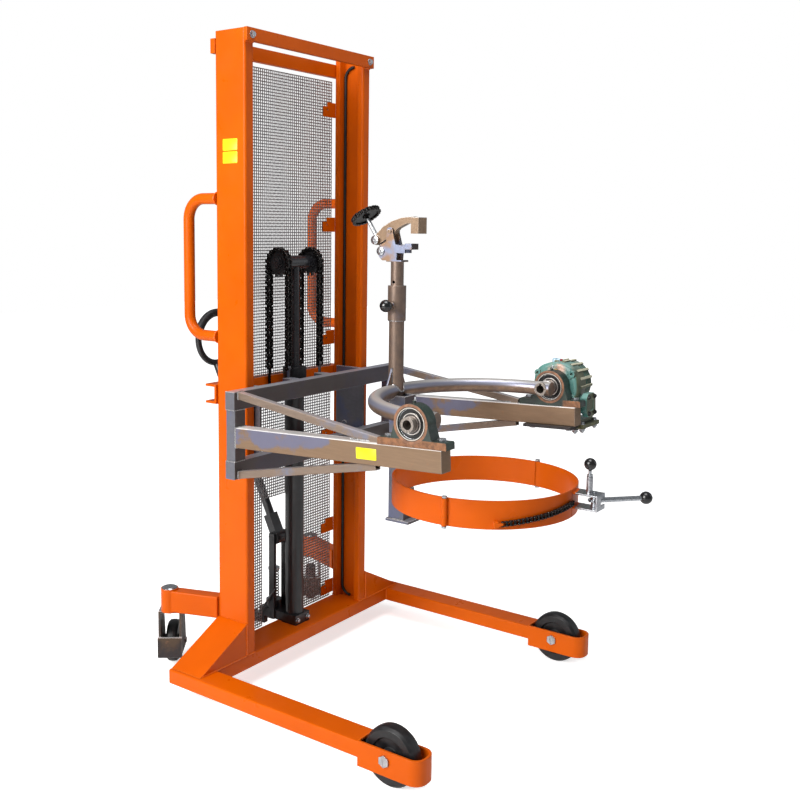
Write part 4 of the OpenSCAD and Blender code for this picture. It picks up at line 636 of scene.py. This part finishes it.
# ---- mesh helpers
class Shape:
    """Collects faces of one piece in machine millimetres and makes one object of them."""

    def __init__(self, name, body, mat, slot):
        self.name, self.body, self.mat, self.slot = name, body, mat, slot
        self.verts, self.faces = [], []

    def add(self, verts, faces):
        start = len(self.verts)
        self.verts += [tuple(v) for v in verts]
        self.faces += [tuple(i + start for i in f) for f in faces]
        return self

    def lean(self):
        """Turns the points with the arms' slope about the tilt axis, as the gearbox stands."""
        turn = Matrix.Rotation(math.radians(-ARM_SLOPE), 3, "X")
        axis = Vector(TILT_AXIS)
        self.verts = [tuple(turn @ (Vector(v) - axis) + axis) for v in self.verts]
        return self

    def box(self, low, high, soft=1.2):
        """A block with its four long edges along X softened."""
        (x0, y0, z0), (x1, y1, z1) = low, high
        ring = []
        for y, z, sy, sz in ((y0, z0, 1, 1), (y1, z0, -1, 1), (y1, z1, -1, -1), (y0, z1, 1, -1)):
            pair = [(y, z + sz * soft), (y + sy * soft, z)]
            ring += pair[::-1] if sy * sz < 0 else pair
        verts = [(x, y, z) for x in (x0, x1) for y, z in ring]
        faces = [tuple(range(8)), tuple(range(15, 7, -1))]
        faces += [(i, 8 + i, 8 + (i + 1) % 8, (i + 1) % 8) for i in range(8)]
        return self.add(verts, faces)

    def make(self):
        mesh = bpy.data.meshes.new(self.name)
        mesh.from_pydata([P(*v) for v in self.verts], [], self.faces)
        mesh.materials.append(MAT[self.mat])
        mesh.validate()
        mesh.shade_smooth()
        mesh.set_sharp_from_angle(angle=math.radians(40))
        piece = bpy.data.objects.new(self.name, mesh)
        bpy.context.scene.collection.objects.link(piece)
        if self.body:
            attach(piece, self.body)
        return piece


def frames_along(points, closed=False):
    """Unit side vectors that follow a path without twisting."""
    pts = [Vector(p) for p in points]
    n = len(pts)
    tangents = []
    for i in range(n):
        a = pts[(i - 1) % n] if closed or i > 0 else pts[i]
        b = pts[(i + 1) % n] if closed or i < n - 1 else pts[i]
        tangents.append((b - a).normalized())
    side = tangents[0].orthogonal().normalized()
    sides = []
    for t in tangents:
        side = (side - t * side.dot(t)).normalized()
        sides.append((side.copy(), t.cross(side)))
    return pts, sides


def tube(points, radius, sides=8, closed=False):
    """A tube of one radius, or of one radius for each point, along a path."""
    pts, around = frames_along(points, closed)
    radii = radius if isinstance(radius, (list, tuple)) else [radius] * len(pts)
    verts, faces = [], []
    for p, (u, v), r in zip(pts, around, radii):
        for k in range(sides):
            a = 2 * math.pi * k / sides
            verts.append(p + u * (r * math.cos(a)) + v * (r * math.sin(a)))
    rings = len(pts)
    for i in range(rings if closed else rings - 1):
        j = (i + 1) % rings
        for k in range(sides):
            m = (k + 1) % sides
            faces.append((i * sides + k, i * sides + m, j * sides + m, j * sides + k))
    if not closed:
        faces.append(tuple(range(sides - 1, -1, -1)))
        faces.append(tuple((rings - 1) * sides + k for k in range(sides)))
    return verts, faces


def lathe(center, axis, profile, steps=24):
    """A body of revolution: profile is a list of (radius, height along the axis)."""
    axis = Vector(axis).normalized()
    u = axis.orthogonal().normalized()
    v = axis.cross(u)
    c = Vector(center)
    verts, faces = [], []
    for r, h in profile:
        for k in range(steps):
            a = 2 * math.pi * (k + 0.5) / steps
            verts.append(c + axis * h + (u * math.cos(a) + v * math.sin(a)) * max(r, 0.01))
    for i in range(len(profile) - 1):
        for k in range(steps):
            m = (k + 1) % steps
            faces.append((i * steps + k, i * steps + m, (i + 1) * steps + m, (i + 1) * steps + k))
    return verts, faces


def line(a, b, step):
    a, b = Vector(a), Vector(b)
    count = max(2, int((b - a).length / step) + 1)
    return [a.lerp(b, i / (count - 1)) for i in range(count)]


def bead(path, radius, closed=False):
    """A weld bead: overlapping drops along a path, each a little different."""
    points, radii = [], []
    for i, p in enumerate(path):
        drop = 0.78 + 0.3 * abs(math.sin(i * math.pi / 3)) + random.uniform(-0.07, 0.07)
        jitter = Vector([random.uniform(-0.12, 0.12) * radius for _ in range(3)])
        points.append(Vector(p) + jitter)
        radii.append(radius * drop)
    if not closed:
        radii[0] *= 0.4
        radii[-1] *= 0.4
    return tube(points, radii, 7, closed)


def loop(corners, step):
    """A closed path along straight lines between corners."""
    path = []
    for a, b in zip(corners, corners[1:] + corners[:1]):
        path += line(a, b, step)[:-1]
    return path


def hex_bolt(center, axis, across, height, shank=0.0):
    """A hexagon head with a chamfer on a washer, and a dome of the shank above it."""
    r = across / math.sqrt(3)
    washer = lathe(center, axis, [(r * 1.25, 0), (r * 1.25, 1.4), (r * 0.3, 1.5)], 28)
    head = lathe(center, axis, [(r, 1.4), (r, height - 1), (r * 0.9, height), (0, height)], 6)
    parts = [washer, head]
    if shank:
        parts.append(lathe(center, axis, [(r * 0.55, height), (r * 0.55, height + shank - 1),
                                          (r * 0.4, height + shank), (0, height + shank)], 20))
    return parts


def both(fn):
    for side in (-1, 1):
        fn(side)


# ---- guard nets of woven wire
NET_Y = 141.5
NET_X = 288.0
PITCH = 10.7


def woven(shape, low, top, opening=None):
    columns = int(2 * NET_X / PITCH)
    rows = int((top - low) / PITCH)
    dx, dz = 2 * NET_X / columns, (top - low) / rows
    half_x, top_z = opening or (0, 0)

    def runs(points):
        run = []
        for p in points:
            if abs(p[0]) < half_x and p[2] < top_z:
                if len(run) > 1:
                    yield run
                run = []
            else:
                run.append(p)
        if len(run) > 1:
            yield run

    for k in range(rows + 1):
        z = low + k * dz
        wave = [(-NET_X + i * dx, NET_Y + (0.7 if (i + k) % 2 else -0.7), z) for i in range(columns + 1)]
        for run in runs(wave):
            shape.add(*tube(run, 2.3, 4))
    for i in range(columns + 1):
        x = -NET_X + i * dx
        wave = [(x, NET_Y + (-0.7 if (i + k) % 2 else 0.7), low + k * dz) for k in range(rows + 1)]
        for run in runs(wave):
            shape.add(*tube(run, 1.8, 4))


def make_nets():
    upper = Shape("upper_net", "base", "wire", "galvanised_wire")
    woven(upper, 1061.0, 2151.0)
    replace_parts(upper.make(), "upper_guard")
    lower = Shape("lower_net", "base", "wire", "galvanised_wire")
    woven(lower, 119.0, 987.0, (112, 600))
    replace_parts(lower.make(), "lower_guard")


make_nets()


# ---- lift chains: the wraps ride on the ram and the runs stay fixed in the frame
def split_chains():
    node = NODES["lift_chains"]
    low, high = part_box("lift_chains")
    sprocket_low, sprocket_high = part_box("left_sprocket")
    axis = (sprocket_low + sprocket_high) / 2
    mesh = node.data
    co = np.array([v.co for v in mesh.vertices])
    parent = list(range(len(co)))

    def root(i):
        while parent[i] != i:
            parent[i] = parent[parent[i]]
            i = parent[i]
        return i

    seen = {}
    for i, p in enumerate(np.round(co, 6)):
        key = tuple(p)
        if key in seen:
            parent[root(i)] = root(seen[key])
        else:
            seen[key] = i
    for e in mesh.edges:
        a, b = e.vertices
        parent[root(a)] = root(b)
    roots = np.array([root(i) for i in range(len(co))])
    kind = {}
    for r in np.unique(roots):
        middle = co[roots == r].mean(0)
        if middle[2] > axis.z - 0.012:
            kind[r] = "wrap"
        else:
            kind[r] = "rear" if middle[1] > axis.y else "front"
    pieces = {}
    for name in ("wrap", "rear", "front"):
        wanted = [f for f in mesh.polygons if kind[roots[f.vertices[0]]] == name]
        used = sorted({i for f in wanted for i in f.vertices})
        new = {old: i for i, old in enumerate(used)}
        data = bpy.data.meshes.new(f"lift_chain_{name}")
        data.from_pydata([co[i] for i in used], [], [[new[i] for i in f.vertices] for f in wanted])
        data.materials.append(MAT["chain"])
        data.shade_smooth()
        data.set_sharp_from_angle(angle=math.radians(35))
        piece = bpy.data.objects.new(f"lift_chain_{name}", data)
        bpy.context.scene.collection.objects.link(piece)
        pieces[name] = piece
    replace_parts(pieces["wrap"], "lift_chains")
    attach(pieces["wrap"], "ram")
    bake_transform(pieces["rear"])
    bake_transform(pieces["front"])


split_chains()


# ---- pump spring as a smooth coil
def make_spring():
    low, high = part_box("pump_spring")
    center = (low + high) / 2
    radius = (high.x - low.x) / 2 * 1000 - 2.5
    turns, steps = 10, 20
    cx, cy = (center.x - MID_X) * 1000, (center.y - FRONT_Y) * 1000
    z0, z1 = low.z * 1000 + 2.5, high.z * 1000 - 2.5
    path = []
    for i in range(turns * steps + 1):
        a = 2 * math.pi * i / steps
        z = z0 + (z1 - z0) * i / (turns * steps)
        path.append((cx + radius * math.cos(a), cy + radius * math.sin(a), z))
    coil = Shape("pump_coil", None, "spring", "black_chain").add(*tube(path, 2.5, 10)).make()
    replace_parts(coil, "pump_spring")
    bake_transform(coil)


make_spring()


# ---- weld beads
def base_welds():
    s = Shape("base_welds", "base", "weld_paint", "orange_paint")

    def side(k):
        for y in (0.5, 135.5):
            s.add(*bead(line((k * 345, y, 121), (k * 345, y, 229), 2.6), 3.6))
            s.add(*bead(line((k * 347, y, 119), (k * 560, y, 119), 2.8), 3.2))
            s.add(*bead(line((k * 302, y, 119.5), (k * 344, y, 119.5), 2.6), 3.4))
        s.add(*bead(line((k * 490, 0, 119), (k * 490, 134, 119), 2.8), 2.6))
        s.add(*bead(line((k * 490, -1, 71), (k * 490, -1, 116), 2.8), 3.0))
        s.add(*bead(line((k * 494, -655, 119), (k * 576, -655, 119), 2.8), 2.6))
        for z in (1223, 1692):
            ring = [(k * 335 + 20 * math.cos(a), 137, z + 20 * math.sin(a))
                    for a in np.linspace(0, 2 * math.pi, 44)[:-1]]
            s.add(*bead(ring, 3.0, True))
        s.add(*bead(loop([(k * 308, 137, 226), (k * 341, 137, 226), (k * 341, 137, 300),
                          (k * 308, 137, 300)], 2.8), 3.0, True))
        for z in (991, 1056):
            s.add(*bead(line((k * 303, 137, z), (k * 343, 137, z), 2.8), 2.8))
        s.add(*bead(line((k * 303, -0.5, 2196), (k * 343, -0.5, 2196), 2.8), 2.6))

    both(side)
    s.make()


def carriage_welds():
    s = Shape("carriage_welds", "carriage", "bead", "bright_steel")

    def side(k):
        s.add(*bead(loop([(k * 412, -61, 883), (k * 460, -61, 883), (k * 460, -61, 948),
                          (k * 412, -61, 948)], 2.6), 3.4, True))
        for z in (1053, 789):
            s.add(*bead(loop([(k * 424, -61, z - 12), (k * 448, -61, z - 12), (k * 448, -61, z + 12),
                              (k * 424, -61, z + 12)], 2.6), 2.8, True))
        for z in (835, 1005):
            s.add(*bead(line((k * 463, -60, z), (k * 463, -20, z), 2.6), 2.0))
            s.add(*bead(line((k * 412, -60.5, z), (k * 461, -60.5, z), 2.6), 2.0))
        for x in (424, 448):
            s.add(*bead(line((k * x, -520, 971.5), (k * x, -592, 974.5), 2.6), 3.0))
        s.add(*bead(line((k * 424, -594, 974.5), (k * 448, -594, 974.5), 2.6), 3.2))

    both(side)
    s.make()


def head_welds():
    s = Shape("head_welds", "yoke", "bead", "bright_steel")
    ring = []
    for a in np.linspace(0, 2 * math.pi, 60)[:-1]:
        x, y = 27 * math.cos(a), POST_Y + 27 * math.sin(a)
        rho = math.hypot(x, y - TILT_Y)
        ring.append((x, y, TILT_Z + math.sqrt(max(0.0, 24.5 ** 2 - (rho - 371) ** 2))))
    s.add(*bead(ring, 3.4, True))
    collar = [(28 * math.cos(a), POST_Y + 28 * math.sin(a), 1288)
              for a in np.linspace(0, 2 * math.pi, 60)[:-1]]
    s.add(*bead(collar, 2.6, True))
    for k in (-1, 1):
        s.add(*bead([(k * 396, TILT_Y + 23.2 * math.cos(a), TILT_Z + 23.2 * math.sin(a))
                     for a in np.linspace(0, 2 * math.pi, 50)[:-1]], 3.0, True))
        for y in (3.5, -3.5):
            s.add(*bead(line((k * 27, POST_Y + y, 1074), (k * 27, POST_Y + y, 1128), 2.6), 2.0))
        s.add(*bead(line((k * 33.5, -433, 607.5), (k * 33.5, -373, 607.5), 2.8), 2.6))
    s.make()


base_welds()
carriage_welds()
head_welds()


# ---- small fittings
def plate(shape, center, u, v, thick, half_u, half_v, corner):
    """A thin plate with rounded corners and a softened rim; u and v are its sides."""
    c, u, v = Vector(center), Vector(u), Vector(v)
    n = u.cross(v)
    outline = []
    for sx, sy, a0 in ((1, 1, 0), (-1, 1, 90), (-1, -1, 180), (1, -1, 270)):
        for a in (0, 30, 60, 90):
            t = math.radians(a0 + a)
            outline.append((sx * (half_u - corner) + corner * math.cos(t),
                            sy * (half_v - corner) + corner * math.sin(t)))
    verts = []
    for lift, shrink in ((0, 0), (thick * 0.7, 0), (thick, 0.4)):
        for x, y in outline:
            fx, fy = 1 - shrink / half_u, 1 - shrink / half_v
            verts.append(c + u * (x * fx) + v * (y * fy) + n * lift)
    m = len(outline)
    faces = [tuple(2 * m + i for i in range(m))]
    for ring in range(2):
        for i in range(m):
            j = (i + 1) % m
            faces.append((ring * m + i, ring * m + j, (ring + 1) * m + j, (ring + 1) * m + i))
    shape.add(verts, faces)


def labels():
    s = Shape("mast_labels", "base", "label", None)
    for z in (1868, 1826):
        plate(s, (-344.2, 68, z), (0, -1, 0), (0, 0, 1), 0.8, 33, 19, 2.5)
    s.make()
    slope = math.radians(ARM_SLOPE)
    s = Shape("arm_label", "carriage", "label", None)
    plate(s, (-461.1, -589, 938), (0, -math.cos(slope), math.sin(slope)),
          (0, math.sin(slope), math.cos(slope)), 0.8, 37, 17, 2.5)
    s.make()


labels()


def base_fittings():
    s = Shape("base_bolts", "base", "bright", "bright_steel")

    def side(k):
        for part in hex_bolt((k * 322.5, -14, 2218.5), (0, -1, 0), 17, 9):
            s.add(*part)
        for part in hex_bolt((k * 29, 39, 136), (0, -1, 0), 13, 8):
            s.add(*part)
        for z in (2045, 1610, 1172, 794, 416, 160):
            s.add(*lathe((k * 253, 136, z), (0, -1, 0),
                         [(6.5, 0), (6.5, 1.2), (5, 3.2), (2.2, 4), (0, 4)], 20))
            s.add(*lathe((k * 253, 144, z), (0, 1, 0), [(8, 0), (8, 1.2), (5, 1.4), (5, 4), (0, 4.4)], 20))

    both(side)
    s.make()


# Base height of the gearbox's foot and bolts before lean(): 3.8 mm below the gearbox plate's box.
gear_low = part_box("gearbox_plate")[0].z * 1000 - 3.8


def bearing_details():
    """Seals, bright rims, set screws and grease nipples of both plummer blocks."""
    seal = Shape("bearing_seals", "carriage", "seal", "black_rubber")
    rim = Shape("bearing_rims", "carriage", "bright", "bright_steel")
    for k in (-1, 1):
        for face in (-1, 1):
            x = k * BLOCK_X + face * 15
            seal.add(*lathe((x, TILT_Y, TILT_Z), (face, 0, 0),
                            [(32.2, 0.1), (33.5, 0.9), (36, 1.8), (42.5, 1.2), (43.5, 0.1)], 48))
            rim.add(*lathe((x, TILT_Y, TILT_Z), (face, 0, 0),
                           [(42.6, 0), (42.9, 1.2), (44.2, 1.4), (44.9, 0)], 48))
        rim.add(*lathe((k * BLOCK_X, TILT_Y, 1111), (0, 0, 1),
                       [(4.5, 0), (4.5, 3), (2.6, 4), (2.6, 7), (3.6, 8), (1.6, 10), (0, 10)], 18))
    seal.make()
    rim.make()
    s = Shape("collar_screws", "yoke", "chain", "black_chain")
    for k in (-1, 1):
        for a in (25, 145, 265):
            t = math.radians(a)
            out = (0, math.cos(t), math.sin(t))
            c = (k * 457.2, TILT_Y + 31.3 * math.cos(t), TILT_Z + 31.3 * math.sin(t))
            s.add(*lathe(c, out, [(1.7, 0), (1.7, 0.5), (1.1, 0.5), (1.0, 0.1), (0, 0.1)], 6))
    s.make()


# The worm's axis, as the gearbox stands level.
WORM_X, WORM_Z = 520, 976


def gear_outline(half_u, half_w, steps=56):
    """A rounded square about the tilt axis: places (y, z) of a superellipse."""
    out = []
    for i in range(steps):
        a = 2 * math.pi * i / steps
        c, s = math.cos(a), math.sin(a)
        out.append((TILT_Y + half_u * math.copysign(abs(c) ** 0.8, c),
                    TILT_Z + half_w * math.copysign(abs(s) ** 0.8, s)))
    return out


def gear_face():
    """The gearbox's dress: ribbed face with bosses, fins, worm flange, foot, bolts, breather and glass."""
    s = Shape("gear_face", "carriage", "teal", "green_casting")
    rings = []
    for x, u, w in ((494, 86, 81), (474, 86, 81), (469.5, 82.5, 77.5), (467.6, 76, 71), (465.6, 40, 38),
                    (465.6, 24, 24)):
        rings.append([(x, y, z) for y, z in gear_outline(u, w)])
    count = len(rings[0])
    faces = []
    for r in range(len(rings) - 1):
        for i in range(count):
            j = (i + 1) % count
            faces.append((r * count + i, r * count + j, (r + 1) * count + j, (r + 1) * count + i))
    s.add([v for ring in rings for v in ring], faces)
    for a in (33, 147, 213, 327):
        t = math.radians(a)
        c = (474, TILT_Y + 79 * math.cos(t), TILT_Z + 79 * math.sin(t))
        s.add(*lathe(c, (-1, 0, 0),
                     [(13, 0), (12.4, 13.2), (11.6, 14), (5.5, 14), (4.6, 11), (4.4, 6), (0, 6)], 22))
        along = Vector((0, math.cos(t), math.sin(t)))
        side = Vector((0, -math.sin(t), math.cos(t)))
        for shift in (-1, 1):
            p, q = Vector(TILT_AXIS) + along * 60, Vector(TILT_AXIS) + along * 72
            base = side * (shift * 9)
            verts = [tuple(v + base + side * w + Vector((x, 0, 0))) for x in (468, 462.5)
                     for v, w in ((p, -1.8), (p, 1.8), (q, 1.8), (q, -1.8))]
            s.add(verts, [(0, 1, 2, 3), (7, 6, 5, 4), (0, 4, 5, 1), (1, 5, 6, 2), (2, 6, 7, 3), (3, 7, 4, 0)])
    s.lean().make()

    fins = Shape("gear_fins", "carriage", "fin", "green_casting")
    for a in range(-6, 187, 21):
        t = math.radians(a - 180)
        for x0, x1, r in ((499, 546, 87), (551, 602, 84)):
            verts = []
            for x in (x0, x1):
                for rr, half in ((68, 5.2), (r - 1, 4.8), (r, 3.8)):
                    for w in (-half, half):
                        verts.append((x, TILT_Y + rr * math.cos(t) - w * math.sin(t),
                                      TILT_Z - rr * math.sin(t) - w * math.cos(t)))
            faces = [(0, 1, 3, 2), (2, 3, 5, 4), (6, 8, 9, 7), (8, 10, 11, 9), (0, 2, 8, 6), (2, 4, 10, 8),
                     (1, 7, 9, 3), (3, 9, 11, 5), (4, 5, 11, 10)]
            fins.add(verts, faces)
    fins.lean().make()

    flange = Shape("worm_flange", "carriage", "teal", "green_casting")
    cut, half_x, half_z = 15, 37, 42
    outline = [(half_x, half_z - cut), (half_x - cut, half_z), (cut - half_x, half_z),
               (-half_x, half_z - cut), (-half_x, cut - half_z), (cut - half_x, -half_z),
               (half_x - cut, -half_z), (half_x, cut - half_z)]
    steps = ((-838, 1), (-858.5, 1), (-860, 0.97), (-860, 0.5), (-857, 0.46))
    verts = [(WORM_X + x * k, y, WORM_Z + z * k) for y, k in steps for x, z in outline]
    faces = [(r * 8 + i, r * 8 + (i + 1) % 8, r * 8 + 8 + (i + 1) % 8, r * 8 + 8 + i)
             for r in range(4) for i in range(8)]
    faces.append(tuple(range(32, 40)))
    flange.add(verts, faces)
    flange.lean().make()
    dark = Shape("gear_screws", "carriage", "chain", "black_chain")
    for x in (-25, 25):
        for z in (-29, 29):
            for part in hex_bolt((WORM_X + x, -860, WORM_Z + z), (0, -1, 0), 12, 7):
                dark.add(*part)
    dark.lean().make()

    foot = Shape("gear_foot", "carriage", "olive", "green_casting")
    foot.box((463, -853, gear_low + 0.5), (603, -653, gear_low + 15.4), 2)
    foot.lean().make()
    bolts = Shape("gear_bolts", "carriage", "bright", "bright_steel")
    for x, y in ((592, -838), (478, -842), (592, -668)):
        for part in hex_bolt((x, y, gear_low + 15.2), (0, 0, 1), 16, 9):
            bolts.add(*part)
        for part in hex_bolt((x, y, gear_low + 0.6), (0, 0, -1), 18, 10, 5):
            bolts.add(*part)
    for part in hex_bolt((428, -838, gear_low + 5.2), (0, 0, -1), 18, 10, 5):
        bolts.add(*part)
    bolts.lean().make()

    cap = Shape("breather", "carriage", "pale_cap", "black_plastic")
    cap.add(*lathe((520, -721, 1124), (0, 0, 1), [(11, 0), (11, 9), (9.6, 12.5), (6, 14), (0, 14.2)], 24))
    cap.add(*lathe((520, -727, 1131), (0, -1, 0), [(6.5, 0), (6.5, 12), (5, 14), (0, 14.4)], 20))
    cap.lean().make()
    red = Shape("breather_tip", "carriage", "cap_red", "black_plastic")
    red.add(*lathe((520, -741, 1131), (0, -1, 0),
                   [(2.4, 0), (4.6, 1.4), (5.4, 4), (4.6, 6.8), (2, 8.6), (0, 8.8)], 18))
    red.lean().make()
    glass = Shape("sight_glass", "carriage", "brass", "bright_steel")
    glass.add(*lathe((466.2, -748, 1095), (-1, 0, 0),
                     [(11, 0), (11, 3.4), (9.8, 4.2), (7.4, 4.2), (7.2, 2.2), (0, 2.2)], 26))
    glass.lean().make()


def sprocket_sleeve():
    """The dark sleeve on the sprockets' shaft between the two wheels."""
    low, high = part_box("left_sprocket")
    y = ((low.y + high.y) / 2 - FRONT_Y) * 1000
    z = (low.z + high.z) * 500
    s = Shape("sprocket_sleeve", "ram", "ram", "black_chain")
    s.add(*lathe((0, y, z), (1, 0, 0), [(18, -72), (24, -70), (24, 70), (18, 72)], 36))
    s.make()


def clamp_pins():
    """Bright end faces of the clamp's two cross pins."""
    for name, body, y, z in (("upper_pin_ends", "upper_jaw", -295, 1558),
                             ("lower_pin_ends", "inner_tube", -319.5, 1521)):
        s = Shape(name, body, "bright", "bright_steel")
        for k in (-1, 1):
            s.add(*lathe((k * 24.1, y, z), (k, 0, 0),
                         [(15.2, -1.0), (15.2, 0.6), (14.4, 1.3), (4, 1.6), (0, 1.2)], 30))
        s.make()


base_fittings()
bearing_details()
gear_face()
sprocket_sleeve()
clamp_pins()


# ---- stage and light
def stage():
    g = Graph("floor_white")
    g.tree.nodes.remove(g.bsdf)
    diffuse = g.new("ShaderNodeBsdfDiffuse")
    diffuse.inputs["Color"].default_value = (0.9, 0.9, 0.9, 1)
    glow = g.new("ShaderNodeEmission")
    glow.inputs["Color"].default_value = (1, 1, 1, 1)
    path = g.new("ShaderNodeLightPath")
    # Painted shade: the floor's glow for the camera is weaker within a few metres of the machine and full
    # further out.
    glow_share = g.math("ADD", g.times(g.away((0, -300, 0), 1.2, 5.0), 0.36), 0.64)
    g.link(g.times(path.outputs["Is Camera Ray"], glow_share), glow.inputs["Strength"])
    both_shaders = g.new("ShaderNodeAddShader")
    g.link(diffuse.outputs[0], both_shaders.inputs[0])
    g.link(glow.outputs[0], both_shaders.inputs[1])
    g.link(both_shaders.outputs[0], g.out.inputs[0])
    half = 14.0
    mesh = bpy.data.meshes.new("floor")
    corners = [(-half, -half, 0), (half, -half, 0), (half, half, 0), (-half, half, 0)]
    mesh.from_pydata(corners, [], [(0, 1, 2, 3)])
    mesh.materials.append(g.mat)
    floor = bpy.data.objects.new("floor", mesh)
    bpy.context.scene.collection.objects.link(floor)

    world = bpy.data.worlds.new("studio")
    bpy.context.scene.world = world
    world.use_nodes = True
    tree = world.node_tree
    tree.nodes.clear()
    out = tree.nodes.new("ShaderNodeOutputWorld")
    seen = tree.nodes.new("ShaderNodeBackground")
    seen.inputs[0].default_value = (1, 1, 1, 1)
    seen.inputs[1].default_value = 1.0
    fill = tree.nodes.new("ShaderNodeBackground")
    fill.inputs[0].default_value = (0.95, 0.97, 1.0, 1)
    fill.inputs[1].default_value = 0.24
    path = tree.nodes.new("ShaderNodeLightPath")
    mix = tree.nodes.new("ShaderNodeMixShader")
    tree.links.new(path.outputs["Is Camera Ray"], mix.inputs[0])
    tree.links.new(fill.outputs[0], mix.inputs[1])
    tree.links.new(seen.outputs[0], mix.inputs[2])
    tree.links.new(mix.outputs[0], out.inputs[0])


def lamp(name, place, target, size, power, color=(1, 1, 1)):
    data = bpy.data.lights.new(name, "AREA")
    data.shape = "RECTANGLE"
    data.size, data.size_y = size
    data.energy = power
    data.color = color
    lamp_object = bpy.data.objects.new(name, data)
    bpy.context.scene.collection.objects.link(lamp_object)
    place, target = Vector(place), Vector(target)
    lamp_object.location = place
    lamp_object.rotation_euler = (target - place).to_track_quat("-Z", "Y").to_euler()


stage()
lamp("key", (-4.8, 0.9, 3.0), (0, -0.1, 1.0), (3.0, 3.0), 330, (1.0, 0.985, 0.96))
lamp("top", (-0.6, -0.6, 5.2), (0, -0.2, 0.9), (2.6, 2.6), 120)
lamp("fill", (3.8, -4.2, 2.4), (0, -0.3, 0.9), (3.5, 3.0), 18, (0.92, 0.96, 1.0))

scene = bpy.context.scene
scene.view_settings.view_transform = "Standard"
